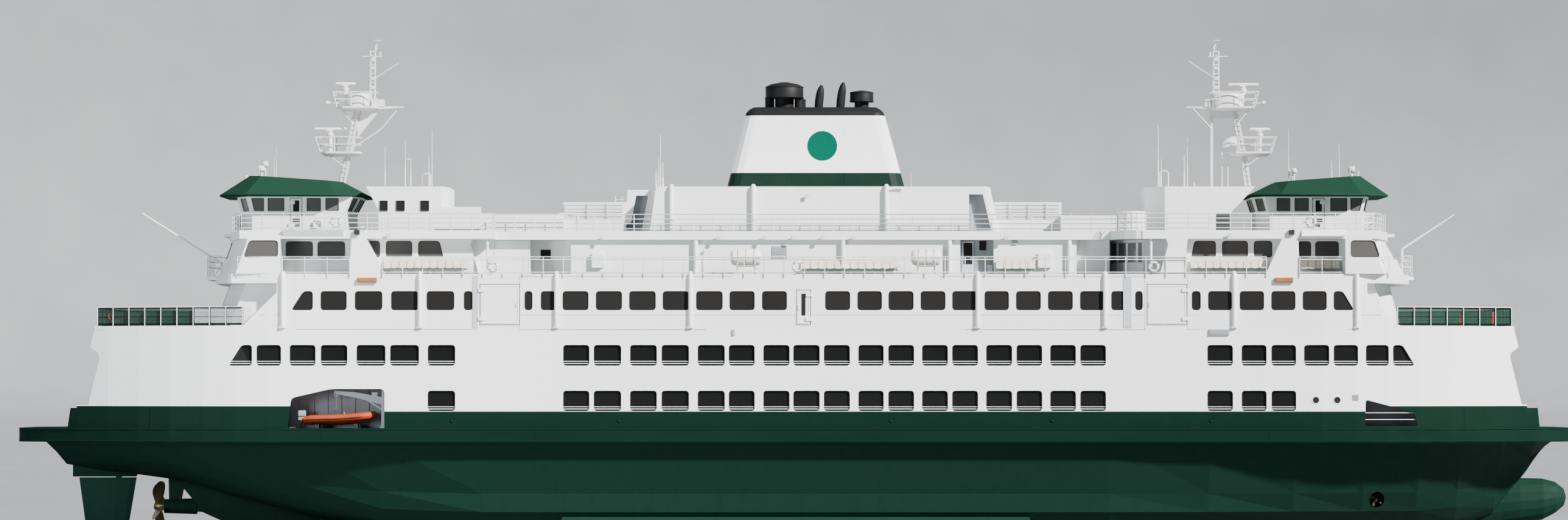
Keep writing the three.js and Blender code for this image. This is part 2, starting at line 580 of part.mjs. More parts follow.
function buildSunHouse(house) {
  const { dir, pillar, archEdge, flushEnd } = house;
  const walls = cut(join(frontRoom(house, 0), longRooms(house, 0)),
    frontRoom(house, WALL), longRooms(house, WALL));
  const outer = SHIP.halfBeam - PLATE.inset;
  const fins = SIDES.flatMap(({ sign }) => {
    const across = (inner) => (sign < 0 ? [-outer, -inner] : [inner, outer]);
    const posts = [sidePrism(fixTurn(pillar), across(SUN_HALF.bay - 5))];
    if (flushEnd) posts.push(sidePrism(fixTurn([...archEdge, ...flushEnd]), across(SUN_HALF.promenade - 5)));
    return posts;
  });
  const [low, high] = SUN_WINDOW_HEIGHTS;
  const hole = ([footStart, headStart, footEnd, headEnd]) =>
    [[footStart, low], [footEnd, low], [headEnd, high], [headStart, high]];
  const holes = [
    ...house.windows.map((sizes) => sidePrism(hole(sizes), [-1130, 1130])),
    ...house.bayWindows.map((sizes) => sidePrism(hole(sizes), [-1050, 1050])),
    sidePrism(hole(house.frontWindow), [-1300, 1300]),
  ];
  const frontSpan = ordered(house.frontFoot + dir * 40, house.cornerHead - dir * 90);
  const frontWindows = [-2, -1, 0, 1, 2].map((i) => block(frontSpan, [i * 290 - 110, i * 290 + 110],
    SUN_WINDOW_HEIGHTS));
  return join(cut(walls, holes, frontWindows), fins);
}

// Both sides of a plan outline given for one side, from end to end. Columns: x, half-breadth
const mirrored = (side) => [...side.map(([x, y]) => [x, -y]), ...[...side].reverse()];

// Centre house on the sun deck: it steps in towards both end houses and has a doorway recess on each side
const CENTRE_HOUSE = {
  plan: [[-2125.5, 900], [-1866, 900], [-1866, 700], [-1706, 700], [-1618, 880], [-1577, 930],
    [1979, 930], [1979, 860], [2215, 860]],
  half: 930, recess: [1161, 1396], recessDepth: 90,
};

function buildCentreHouse() {
  const { plan, half, recess, recessDepth } = CENTRE_HOUSE;
  const body = planPrism(mirrored(plan), [LEVEL.sunDeck + GAP, LEVEL.houseTop - GAP]);
  const recesses = SIDES.map(({ sign }) => block(recess,
    sign < 0 ? [-half - 1, -half + recessDepth] : [half - recessDepth, half + 1],
    [LEVEL.sunDeck + 8, LEVEL.houseTop + 1]));
  return cut(body, recesses);
}

// Glazed shelter between the centre house and the right end house, its glass in flat panes around
// the corner. Columns of the plan: x, half-breadth
const SHELTER = {
  plan: [[2231, 560], [2276, 700], [2339, 800], [2407, 862], [2449.7, 890]], wall: 20, mullion: 9,
};

// A hole through a wall that runs between two places in plan, leaving a margin at both ends
function paneHole([ax, ay], [bx, by], margin, thick, [z0, z1]) {
  const length = Math.hypot(bx - ax, by - ay) - 2 * margin;
  const geometry = new THREE.BoxGeometry(length, thick, z1 - z0);
  geometry.rotateZ(Math.atan2(by - ay, bx - ax));
  geometry.translate((ax + bx) / 2, (ay + by) / 2, (z0 + z1) / 2);
  return solidOf(geometry);
}

function buildShelter() {
  const { plan, wall, mullion } = SHELTER;
  const heights = [LEVEL.sunDeck + GAP, LEVEL.houseTop - GAP];
  const last = plan.length - 1;
  const hollow = plan.map(([x, y], i) => (i === last ? [x + 5, y - wall] : [x + wall, y - wall * 0.6]));
  const shell = cut(planPrism(mirrored(plan), heights),
    planPrism(mirrored(hollow), [heights[0] - 5, heights[1] + 5]));
  const glazing = [LEVEL.sunDeck + 90, LEVEL.houseTop - 20];
  const panes = plan.slice(1).flatMap((end, i) => SIDES.map(({ sign }) => {
    const flip = ([x, y]) => [x, sign * y];
    return paneHole(flip(plan[i]), flip(end), mullion, 3 * wall, glazing);
  }));
  return cut(shell, panes);
}

// Bridge deck: a narrow middle between two full-width ends, the right one with a round corner,
// and a column under each inner end
const BRIDGE_DECK = {
  half: 965, leftEnd: [-4006, -2100], rightEnd: [2424, 4200], shelves: [[-4088, -3700], [3900, 4289]],
  corner: [[2217, 900], [2217, 965], [2240, 1060], [2300, 1150], [2380, 1200], [2449, 1215], [2449, 900]],
  columns: [-2150, 2485], columnY: 1190,
};

function buildBridgeDeck() {
  const heights = [LEVEL.houseTop, LEVEL.bridgeDeck];
  const { half, leftEnd, rightEnd, shelves, corner, columns, columnY } = BRIDGE_DECK;
  const full = SHIP.halfBeam - PLATE.inset;
  const middle = block([leftEnd[1] - 10, rightEnd[0] + 10], [-half, half], heights);
  const ends = [leftEnd, rightEnd].map(([a, b]) => {
    const dir = Math.sign(a);
    const [near, far] = dir < 0 ? [b, a] : [a, b];
    return planPrism(fixTurn([[near, -full], [far - dir * 125, -full], [far, -full * 0.5], [far, full * 0.5],
      [far - dir * 125, full], [near, full]]), heights);
  });
  const tips = shelves.map((span) => block(span, [-260, 260], [heights[1] - 24, heights[1]]));
  const corners = SIDES.map(({ sign }) => planPrism(fixTurn(corner.map(([x, y]) => [x, sign * y])), heights));
  const posts = SIDES.flatMap(({ sign }) => columns.map((x) =>
    rod([x, sign * columnY, LEVEL.sunDeck + GAP], [x, sign * columnY, LEVEL.houseTop + 5], 9)));
  return join(middle, ends, tips, corners, posts);
}

// Upper house amidships, its ends slanted, with a low room and a raised room beyond each end
const UPPER_HOUSE = {
  // Columns: height, left end, left corner, right corner, right end
  rings: [[LEVEL.bridgeDeck + GAP, -1080, -1025, 1395, 1445], [LEVEL.upperTop, -1010, -980, 1333, 1378]],
  half: 880, endHalf: 700,
  // Columns: from, to, half-breadth, height of the roof
  rooms: [[-2447, -1630, 900, 1710], [-1640, -1190, 700, 1800], [1370, 1884, 700, 1800],
    [1874, 2270, 800, 1703], [2260, 2400, 550, 1703]],
  tower: [[-1205, LEVEL.bridgeDeck + GAP], [-1185, 1887], [-1000, 1887], [-1000, LEVEL.bridgeDeck + GAP]],
  towerHalf: 700,
  // Openings in the side. Points: x, z
  stairDoor: [[-1196, 1603], [-1086, 1603], [-1040, 1847], [-1125, 1847], [-1160, 1660], [-1196, 1640]],
  sideDoor: [[1224, 1601], [1380, 1601], [1322, 1850], [1224, 1850]],
  doorDepth: 70,
  drum: { x: 2383, y: 600, radius: 100, top: 1737 },
};

function buildUpperHouse() {
  const { rings, half, endHalf, rooms, tower, towerHalf, stairDoor, sideDoor, doorDepth, drum } = UPPER_HOUSE;
  const body = loft(rings.map(([z, left, leftCorner, rightCorner, right]) => [
    [left, -endHalf, z], [leftCorner, -half, z], [rightCorner, -half, z], [right, -endHalf, z],
    [right, endHalf, z], [rightCorner, half, z], [leftCorner, half, z], [left, endHalf, z],
  ]));
  const foot = LEVEL.bridgeDeck + GAP;
  const blocks = rooms.map(([from, to, y, top]) => block([from, to], [-y, y], [foot, top]));
  const stairs = sidePrism(fixTurn(tower), [-towerHalf, towerHalf]);
  const drums = SIDES.map(({ sign }) =>
    rod([drum.x, sign * drum.y, foot], [drum.x, sign * drum.y, drum.top], drum.radius, drum.radius, 20));
  const recesses = SIDES.flatMap(({ sign }) => [[stairDoor, towerHalf], [sideDoor, half]].map(([points, y]) =>
    sidePrism(fixTurn(points), sign < 0 ? [-y - 1, -y + doorDepth] : [y - doorDepth, y + 1])));
  return cut(join(body, blocks, stairs, drums), recesses);
}

// Houses behind the pilothouses. Points of the side: x, z; columns of the plan: x, half-breadth
const BRIDGE_HOUSE = {
  left: {
    side: [[-2470, 1588.3], [-2470, 1919], [-3052, 1919], [-2962, 1750], [-2962, 1588.3]],
    plan: [[-3060, 500], [-2515, 500], [-2470, 300]],
  },
  right: {
    side: [[2500, 1588.3], [2500, 1919], [3274, 1919], [3096, 1729], [3096, 1588.3]],
    plan: [[2500, 300], [2629, 500], [3280, 500]],
  },
};

function buildBridgeHouse({ side, plan }) {
  return sidePrism(fixTurn(side), [-510, 510]).intersect(planPrism(mirrored(plan), [1500, 2000]));
}

// Pilothouses: eight-sided, wider at the eaves than at the foot, hollow, with a hipped roof.
// Columns of the walls: height, left end, left corner, right corner, right end.
// Columns of the windows: start at the foot, start at the head, end at the foot, end at the head
const PILOT = { half: 430, nose: 230, sillZ: 1738, topZ: 1849, wall: 20, foot: LEVEL.bridgeDeck + GAP };
const PILOTHOUSE = {
  left: {
    dir: -1,
    walls: [[PILOT.foot, -3955, -3867, -3200, -3166], [PILOT.sillZ, -3960, -3867, -3205, -3166],
      [PILOT.topZ, -3995, -3905, -3155, -3105]],
    eaves: [-4102, -3066], ridge: [-3905, -3243], ridgeZ: [2006, 1962],
    windows: [[-3855, -3878, -3781, -3781], [-3759, -3759, -3637, -3637], [-3481, -3481, -3377, -3377],
      [-3347, -3347, -3250, -3250]],
    doorX: -3594,
  },
  right: {
    dir: 1,
    walls: [[PILOT.foot, 3305, 3385, 4036, 4068], [PILOT.sillZ, 3299, 3379, 4042, 4080],
      [PILOT.topZ, 3263, 3343, 4069, 4107]],
    eaves: [3252, 4228], ridge: [3439, 4050], ridgeZ: [1959, 2004],
    windows: [[3429, 3429, 3529, 3529], [3557, 3557, 3661, 3661], [3811, 3811, 3935, 3935],
      [3955, 3955, 4024, 4050]],
    doorX: 3690,
  },
};
const pilotDoor = (side) => ({
  name: `pilothouse_door_${side}`, x: PILOTHOUSE[side].doorX, width: 78, foot: LEVEL.bridgeDeck + 22, head: 1836,
  hinge: PILOTHOUSE[side].dir,
});

function octagon([x0, x1], half, nose, chamfer, z) {
  return [[x0, -nose, z], [x0 + chamfer, -half, z], [x1 - chamfer, -half, z], [x1, -nose, z],
    [x1, nose, z], [x1 - chamfer, half, z], [x0 + chamfer, half, z], [x0, nose, z]];
}

function pilotShell({ walls }, inset) {
  const rings = walls.map(([z, left, leftCorner, rightCorner, right], i) => {
    const height = inset ? z + [-5, 0, 5][i] : z;
    const half = PILOT.half - inset;
    const nose = PILOT.nose - inset * 0.6;
    const turn = inset * 0.8;
    return [
      [left + inset, -nose, height], [leftCorner + turn, -half, height],
      [rightCorner - turn, -half, height], [right - inset, -nose, height],
      [right - inset, nose, height], [rightCorner - turn, half, height],
      [leftCorner + turn, half, height], [left + inset, nose, height],
    ];
  });
  return loft(rings);
}

function buildPilothouse(side) {
  const { walls, windows } = PILOTHOUSE[side];
  const shell = cut(pilotShell(PILOTHOUSE[side], 0), pilotShell(PILOTHOUSE[side], PILOT.wall));
  const [low, high] = [PILOT.sillZ + 6, PILOT.topZ - 8];
  const sides = windows.map(([footStart, headStart, footEnd, headEnd]) =>
    sidePrism([[footStart, low], [footEnd, low], [headEnd, high], [headStart, high]], [-500, 500]));
  const [sill, top] = walls.slice(1);
  const ends = [-145, 0, 145].map((y) => block([top[1] - 60, top[4] + 60], [y - 62, y + 62], [low, high]));
  const middle = (column) => (sill[column] + top[column]) / 2;
  const corners = [[1, 2], [4, 3]].flatMap(([end, corner]) => SIDES.map(({ sign }) =>
    paneHole([middle(end), sign * PILOT.nose], [middle(corner), sign * PILOT.half], 38, 130, [low, high])));
  const doorway = doorHole(pilotDoor(side), [-500, 500]);
  return cut(shell, sides, ends, corners, doorway);
}

function buildPilotRoof(house) {
  const low = PILOT.topZ + GAP;
  const eaveHalf = 560;
  const ring = (span, half, nose, chamfer, zs) =>
    octagon(span, half, nose, chamfer, 0).map(([x, y]) => {
      const t = (x - span[0]) / (span[1] - span[0]);
      return [x, y, zs[0] + (zs[1] - zs[0]) * t];
    });
  return loft([
    ring(house.eaves, eaveHalf, 330, 200, [low, low]),
    ring(house.eaves, eaveHalf, 330, 200, [low + 18, low + 18]),
    ring(house.ridge, 330, 200, 90, house.ridgeZ),
  ]);
}

// Funnel on the upper house, with its black cap, vents and horns
const FUNNEL = { foot: [-491, 789], head: [-359, 645], footHalf: 300, headHalf: 240, top: 2436 };
const CAP = {
  // Columns: rise above the funnel, how far the rim stands in, corner radius
  rim: [[GAP, 2, 78], [30, 18, 74], [63, 60, 60]],
  // Columns: x, stem radius, reach, low edge, high edge, crown
  vents: [[-76, 68, 138, 2569, 2650, 2687], [480, 51, 86, 2541, 2610, 2628]],
  // Columns: x, radius, top
  pipes: [[-182, 33, 2575], [30, 33, 2575], [62, 16, 2564]],
  // Columns: x at the foot, x at the tip, top
  horns: [[171, 192, 2667], [327, 350, 2687]],
  hornRadius: 30,
};

function roundedRing([x0, x1], half, radius, z) {
  const corners = [[x1 - radius, half - radius, 0], [x0 + radius, half - radius, 1],
    [x0 + radius, -half + radius, 2], [x1 - radius, -half + radius, 3]];
  return corners.flatMap(([cx, cy, quarter]) => [0, 1, 2, 3].map((i) => {
    const angle = (quarter + i / 3) * Math.PI / 2;
    return [cx + radius * Math.cos(angle), cy + radius * Math.sin(angle), z];
  }));
}

function buildFunnel() {
  const { foot, head, footHalf, headHalf, top } = FUNNEL;
  return loft([roundedRing(foot, footHalf, 90, LEVEL.upperTop + GAP), roundedRing(head, headHalf, 80, top)]);
}

function buildFunnelCap() {
  const { head, headHalf, top } = FUNNEL;
  const rim = loft(CAP.rim.map(([rise, inset, radius]) =>
    roundedRing([head[0] + inset, head[1] - inset], headHalf - inset, radius, top + rise)));
  const deck = top + CAP.rim[2][0] - 8;
  const upright = (x, radius, z0, z1, endRadius = radius, sides = 16) =>
    rod([x, 0, z0], [x, 0, z1], radius, endRadius, sides);
  const vents = CAP.vents.map(([x, stem, reach, low, high, crown]) => join(
    upright(x, stem, deck, high), upright(x, reach, low, high),
    upright(x, reach - 2, high - 2, crown, reach * 0.4)));
  const pipes = CAP.pipes.map(([x, radius, high]) => upright(x, radius, deck, high, radius, 12));
  const horns = CAP.horns.map(([x, tip, high]) => {
    const bend = deck + (high - deck) * 0.55;
    return join(rod([x, 0, deck], [x + 4, 0, bend], CAP.hornRadius, CAP.hornRadius - 2, 12),
      rod([x + 4, 0, bend - 4], [tip, 0, high], CAP.hornRadius - 2, 9, 12));
  });
  return join(rim, vents, pipes, horns);
}

// Masts: a leaning column, two platforms, an arm, twin topmasts with a dish, braces, and the
// pedestals that the radars turn on. Points: x, z; columns of the column: x, z, half-width
const MAST = {
  left: {
    column: [[-3263, 1958, 25], [-3152, 2500, 24]], lowPlatform: [-3412, -3121],
    highPlatform: [-3292, -3000], arm: [-3010, -2819], box: [-3242, -3056], sideBox: [-3046, -2956],
    topmasts: [-3060, -3026], dishX: -3022,
    braces: [[[-3358, 2175], [-3221, 2062]], [[-3258, 2496], [-3180, 2385]], [[-3145, 2240], [-2965, 2369]],
      [[-2965, 2369], [-2861, 2500]]],
    plate: [[-3164, 2500], [-2984, 2500], [-3196, 2280]],
    lowRadar: { x: -3347, z: 2352, length: 236 }, highRadar: { x: -3238, z: 2678, length: 150 },
  },
  right: {
    column: [[3262, 1919, 24], [3236, 2127, 22], [3162, 2500, 21]], lowPlatform: [3129, 3425],
    highPlatform: [2990, 3304], arm: [3000, 2816], box: [2992, 3236], sideBox: [2948, 2998],
    topmasts: [3014, 3052], dishX: 3019,
    braces: [[[3364, 2175], [3245, 2085]], [[3262, 2496], [3180, 2385]], [[2864, 2500], [2999, 2350]]],
    plate: [[2984, 2500], [3170, 2500], [3170, 2430], [2984, 2425]],
    lowRadar: { x: 3347, z: 2350, length: 150 }, highRadar: { x: 3229, z: 2672, length: 223 },
    // A post beside the column, and a rounded hood above the low platform. Columns: x, height, half-size
    post: { x: 2999, foot: 1919 + GAP, radius: 11 },
    hood: [[3078, 2222, 26], [3110, 2236, 44], [3160, 2256, 40], [3222, 2262, 24]],
  },
};
const LOW_DECK = { z: 2185, half: 90, thick: 20 };
const HIGH_DECK = { z: 2510, half: 110, thick: 20 };
const TOPMAST = { top: 2911, radius: 7, bars: [2560, 2620, 2684, 2748, 2815, 2862, 2908], dish: 2966 };
const YARD = { z: 2862, reach: 58, half: 70, radius: 5 };
const RADAR = { barWidth: 24, barHeight: 18, neck: 20, pin: 7, pinDepth: 16 };

// A square ring about a place on the centreline, for lofting along a mast or a hood
const squareRing = (x, low, high, half) => [[x, -half, low], [x, half, low], [x, half, high], [x, -half, high]];

function buildMast(mast, foot) {
  const { column, lowPlatform, highPlatform, arm, box, sideBox, topmasts, dishX, braces, plate } = mast;
  const shaft = loft([foot, ...column.slice(1)].map(([x, z, half]) => [
    [x - half, -half, z], [x + half, -half, z], [x + half, half, z], [x - half, half, z]]));
  const decks = [[lowPlatform, LOW_DECK], [highPlatform, HIGH_DECK]].map(([span, { z, half, thick }]) =>
    crossPrism([[-half + 25, z - thick], [half - 25, z - thick], [half, z - 8], [half, z], [-half, z],
      [-half, z - 8]], span));
  const boom = loft([[arm[0], 40, 18], [arm[1], 14, 7]].map(([x, half, drop]) =>
    squareRing(x, HIGH_DECK.z - drop, HIGH_DECK.z + 2, half)));
  const equipment = new THREE.CylinderGeometry(1, 1, 98, 20);
  equipment.rotateX(Math.PI / 2);
  equipment.scale((box[1] - box[0]) / 2, 78, 1);
  equipment.translate((box[0] + box[1]) / 2, 0, HIGH_DECK.z + 47);
  const locker = block(sideBox, [-40, 40], [HIGH_DECK.z - 2, HIGH_DECK.z + 52]);
  const uprights = topmasts.map((x) => rod([x, 0, HIGH_DECK.z - 4], [x, 0, TOPMAST.top], TOPMAST.radius));
  const bars = TOPMAST.bars.map((z) => block([topmasts[0], topmasts[1]], [-5, 5], [z - 5, z + 5]));
  const tip = rod([dishX, 0, TOPMAST.top - 8], [dishX, 0, TOPMAST.dish + 4], 6);
  const dish = rod([dishX, 0, TOPMAST.dish], [dishX, 0, TOPMAST.dish + 22], 14, 47, 16);
  const middle = (topmasts[0] + topmasts[1]) / 2;
  const yards = [
    rod([topmasts[0] - YARD.reach, 0, YARD.z], [topmasts[1] + YARD.reach, 0, YARD.z], YARD.radius),
    rod([middle, -YARD.half, YARD.z], [middle, YARD.half, YARD.z], YARD.radius),
  ];
  const pedestals = [[mast.lowRadar, LOW_DECK.z], [mast.highRadar, HIGH_DECK.z]].map(([radar, from]) => {
    const top = radar.z - RADAR.barHeight / 2 - RADAR.neck;
    const bore = RADAR.pin + PIN_GAP;
    return cut(rod([radar.x, 0, from - 2], [radar.x, 0, top], 24, 20, 12),
      rod([radar.x, 0, top - RADAR.pinDepth - 4], [radar.x, 0, top + 4], bore, bore, 12));
  });
  const stays = braces.map(([[x0, z0], [x1, z1]]) => rod([x0, 0, z0], [x1, 0, z1], 6, 6, 6));
  const gusset = sidePrism(fixTurn(plate), [-9, 9]);
  const extras = [];
  if (mast.post) {
    const { x, foot: base, radius } = mast.post;
    extras.push(rod([x, 0, base], [x, 0, HIGH_DECK.z - 10], radius, radius, 10));
  }
  if (mast.hood) extras.push(loft(mast.hood.map(([x, z, half]) =>
    squareRing(x, Math.max(z - half, LOW_DECK.z - 2), z + half, half))));
  return join(shaft, decks, boom, solidOf(equipment), locker, uprights, bars, tip, dish, yards, pedestals, stays,
    gusset, extras);
}

// A radar scanner about its own turning axis, the bar's middle at the origin
function buildRadar({ length }) {
  const bar = block([-length / 2, length / 2], [-RADAR.barWidth / 2, RADAR.barWidth / 2],
    [-RADAR.barHeight / 2, RADAR.barHeight / 2]);
  const neckFoot = -RADAR.barHeight / 2 - RADAR.neck + 5;
  const neck = rod([0, 0, neckFoot], [0, 0, 0], 17, 17, 12);
  const pin = rod([0, 0, neckFoot - 5 - RADAR.pinDepth], [0, 0, 0], RADAR.pin, RADAR.pin, 12);
  return join(bar, neck, pin);
}

// Glazed screens along the open ends of the passenger deck
const SCREEN = { inset: 62, thick: 14, height: 132, left: [-4912, -3862], right: [4212, 5052] };

function buildScreen([x0, x1]) {
  const heights = [LEVEL.cabinFloor, LEVEL.cabinFloor + SCREEN.height];
  const dir = Math.sign(x0);
  const outer = planPrism(deckOutline(x0, x1, SCREEN.inset), heights);
  const grown = dir < 0 ? [x0 + SCREEN.thick, x1 + 5] : [x0 - 5, x1 - SCREEN.thick];
  const inner = planPrism(deckOutline(grown[0], grown[1], SCREEN.inset + SCREEN.thick),
    [heights[0] - 5, heights[1] + 5]);
  return cut(outer, inner);
}

// Rescue boat on its cradle, in the bay on the starboard side
const BOAT = { x: [-3449, -2930], y: -1075, keel: 228, top: 318, half: 100 };

function buildBoat() {
  const { x, y, keel, top, half } = BOAT;
  const length = x[1] - x[0];
  // Columns: place along the boat, share of the half-breadth, rise of the keel, rise of the side
  const rings = [[0, 0.86, 0, 0], [0.5, 1, 0, 0], [0.78, 0.8, 10, 6], [0.94, 0.4, 40, 14], [1, 0.12, 62, 18]]
    .map(([t, wide, rise, sheer]) => {
      const px = x[0] + t * length;
      const w = half * wide;
      const side = top + sheer;
      const bilge = keel + rise + 22;
      return [
        [px, y, keel + rise], [px, y + w * 0.75, bilge], [px, y + w, side - 18], [px, y + w * 0.86, side],
        [px, y - w * 0.86, side], [px, y - w, side - 18], [px, y - w * 0.75, bilge],
      ];
    });
  const motor = block([x[0] - 40, x[0] + 34], [y - 24, y + 24], [keel + 30, top + 30]);
  const helm = block([x[0] + 210, x[0] + 270], [y - 34, y + 34], [top - 10, top + 40]);
  const chocks = [90, 360].map((dx) => block([x[0] + dx, x[0] + dx + 30], [y - 70, y + 70],
    [LEVEL.guardTop + GAP, keel + 30]));
  return join(loft(rings), motor, helm, chocks);
}

// Davit: a round post on the deck with an arm over the boat and a short fall
const DAVIT = { x: -2884, y: -1075, top: 452, reach: 330, post: 14 };

function buildDavit() {
  const rise = DAVIT.top - LEVEL.guardTop;
  const post = rod([0, 0, GAP], [0, 0, rise], DAVIT.post, DAVIT.post, 12);
  const arm = block([-DAVIT.reach, 12], [-9, 9], [rise - 12, rise + 16]);
  const brace = rod([0, 0, rise - 90], [-120, 0, rise], 8);
  const fall = rod([-DAVIT.reach + 14, 0, rise - 86], [-DAVIT.reach + 14, 0, rise], 4, 4, 6);
  return join(post, arm, brace, fall);
}

// Raft canisters on cradles along the sun deck. Columns: x, length
const RAFTS = [[-455, 220], [809, 212]];
const RAFT = { y: 1110, radius: 58, axisZ: 1400 };

function buildRaft(length) {
  const up = RAFT.axisZ - LEVEL.sunDeck;
  const body = new THREE.CapsuleGeometry(RAFT.radius, length - 2 * RAFT.radius * 0.7, 3, 14);
  body.rotateZ(Math.PI / 2);
  body.scale(0.86, 1, 1);
  body.translate(length / 2, 0, up);
  const cradles = [0.25, 0.75].map((t) => block([t * length - 8, t * length + 8], [-50, 50], [GAP, up - 20]));
  return join(solidOf(body), cradles);
}

// Sighting poles that lean out over both ends
const POLES = [
  { name: 'sight_pole_left', from: [-4130, 0, 1284.3], knee: [-4130, 0, 1384], to: [-4701, 0, 1744] },
  { name: 'sight_pole_right', from: [4370, 0, 1284.3], knee: [4370, 0, 1484], to: [4749, 0, 1735] },
];

// Assembly
place('hull', buildHull(), 'hullPaint');
place('car_deck', buildCarDeck(), 'greenPaint');
place('rudder', buildRudder(), 'hullPaint', ship, [RUDDER.stockX, 0, 0]);
place('propeller', screw({ radius: PROP.radius, hub: PROP.hub, blades: 4, halfChord: 66, thick: 10,
  pin: PROP.pin, pinLength: 40, hubHalf: 28 }), 'bronze', ship, [PROP.x, 0, PROP.z]);
place('thruster_propeller', screw({ radius: 49, hub: 15, blades: 4, halfChord: 17, thick: 5,
  pin: TUNNEL.pin, pinLength: 18, hubHalf: 14 }).rotate([0, 0, 90]), 'bronze', ship,
[TUNNEL.x, TUNNEL.propY, TUNNEL.z]);

for (const { name, sign } of SIDES) {
  place(`side_shell_${name}`, buildSideShell(sign), 'whitePaint');
  place(`gallery_deck_${name}`, buildGallery(sign), 'greyPaint');
}
place('centre_casing', buildCasing(), 'whitePaint');
place('passenger_deck', buildPassengerDeck(), 'deckPaint');
place('passenger_cabin', buildCabin(), 'whitePaint');

for (const door of SIDE_DOORS) placeDoor(door, SHIP.halfBeam - PLATE.inset);

place('sun_deck', buildSunDeck(), 'deckPaint');
place('sun_house_left', buildSunHouse(SUN_HOUSE.left), 'whitePaint');
place('sun_house_right', buildSunHouse(SUN_HOUSE.right), 'whitePaint');
place('centre_house', buildCentreHouse(), 'whitePaint');
place('shelter', buildShelter(), 'greyPaint');
place('bridge_deck', buildBridgeDeck(), 'deckPaint');
place('upper_house', buildUpperHouse(), 'whitePaint');

for (const side of ['left', 'right']) {
  place(`bridge_house_${side}`, buildBridgeHouse(BRIDGE_HOUSE[side]), 'whitePaint');
  place(`pilothouse_${side}`, buildPilothouse(side), 'whitePaint');
  placeDoor(pilotDoor(side), PILOT.half);
  const roof = buildPilotRoof(PILOTHOUSE[side]);
  place(`pilothouse_roof_${side}`, roof, 'deckPaint');
  const mast = MAST[side];
  const [x, z, half] = mast.column[0];
  const foot = side === 'left' ? [x - 8, z - 40, half] : [x, z + GAP, half];
  place(`mast_${side}`, cut(buildMast(mast, foot), roof, roof.translate([0, 0, GAP])), 'whitePaint');
  for (const level of ['low', 'high']) {
    const radar = mast[`${level}Radar`];
    place(`radar_${level}_${side}`, buildRadar(radar), 'raftWhite', ship, [radar.x, 0, radar.z]);
  }
  place(`end_screen_${side}`, buildScreen(SCREEN[side]), 'greenPaint');
}

place('funnel', buildFunnel(), 'whitePaint');
place('funnel_cap', buildFunnelCap(), 'blackPaint');
place('rescue_boat', buildBoat(), 'orange');
place('davit', buildDavit(), 'greyPaint', ship, [DAVIT.x, DAVIT.y, LEVEL.guardTop]);

RAFTS.forEach(([x, length], i) => {
  for (const { name, sign } of SIDES) {
    place(`raft_${i + 1}_${name}`, buildRaft(length), 'raftWhite', ship, [x, sign * RAFT.y, LEVEL.sunDeck]);
  }
});

for (const { name, from, knee, to } of POLES) {
  place(name, join(rod(from, knee, 9), rod(knee, to, 9, 5)), 'whitePaint');
}

export default ship;
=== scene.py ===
# Looks of the double-ended car ferry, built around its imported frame.
# Sizes are in the frame's millimetres and become metres where a mesh is made. The floor, the
# lights and the camera are placed in metres.
import math

import bmesh
import bpy
import numpy as np
from mathutils import Matrix, Vector


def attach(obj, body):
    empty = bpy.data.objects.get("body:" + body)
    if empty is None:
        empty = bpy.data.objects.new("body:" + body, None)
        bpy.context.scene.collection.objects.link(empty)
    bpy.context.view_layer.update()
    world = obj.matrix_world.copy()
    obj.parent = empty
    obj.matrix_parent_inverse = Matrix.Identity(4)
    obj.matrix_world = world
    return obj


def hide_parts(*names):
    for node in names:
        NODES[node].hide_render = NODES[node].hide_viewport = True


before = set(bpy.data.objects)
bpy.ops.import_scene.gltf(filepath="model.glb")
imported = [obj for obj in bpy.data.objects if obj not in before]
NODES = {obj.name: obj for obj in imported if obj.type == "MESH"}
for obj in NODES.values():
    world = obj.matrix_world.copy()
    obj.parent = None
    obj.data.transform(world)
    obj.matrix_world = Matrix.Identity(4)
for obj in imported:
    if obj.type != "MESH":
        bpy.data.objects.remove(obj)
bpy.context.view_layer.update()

MM = 0.001

# Driving sizes, the same as the frame's
HALF_LENGTH, HALF_BEAM, END_HALF_BEAM, TAPER_START = 5520, 1265, 560, 3600
PLATE_INSET, PLATE_THICK, WALL, GUARD_CORNER = 50, 28, 25, 130
HULL_TOP, GUARD_TOP, PLATE_TOP, CABIN_FLOOR, CABIN_TOP = 106, 205, 897, 922, 1218
SUN_DECK, HOUSE_TOP, BRIDGE_DECK, BRIDGE_ROOF = 1284, 1528, 1588, 1919
UPPER_ROOF, FUNNEL_TOP, FUNNEL_GREEN_TOP = 1905, 2436, 2024
SKIN = HALF_BEAM - PLATE_INSET
SHELL_ENDS, SHELL_STEP = (-5180, 5300), 230
# Half-breadths of the walls above the sun deck
CENTRE_WALL, BAY_WALL, PROMENADE_WALL, PILOT_WALL, BRIDGE_WALL = 930, 980, 1120, 430, 504


def guard_half(x):
    """Half-breadth of the guard, which narrows towards both ends."""
    past = max(0.0, abs(x) - TAPER_START) / (HALF_LENGTH - TAPER_START)
    return HALF_BEAM - (HALF_BEAM - END_HALF_BEAM) * past * past


SHELL_X = sorted({*SHELL_ENDS, -TAPER_START, TAPER_START} | {
    x for x in range(-HALF_LENGTH, HALF_LENGTH + 1, SHELL_STEP)
    if abs(x) > TAPER_START and SHELL_ENDS[0] + SHELL_STEP / 3 < x < SHELL_ENDS[1] - SHELL_STEP / 3})
SHELL_Y = [guard_half(x) - PLATE_INSET for x in SHELL_X]


def skin(x):
    """Half-breadth of the side plating's outer face."""
    return float(np.interp(x, SHELL_X, SHELL_Y))


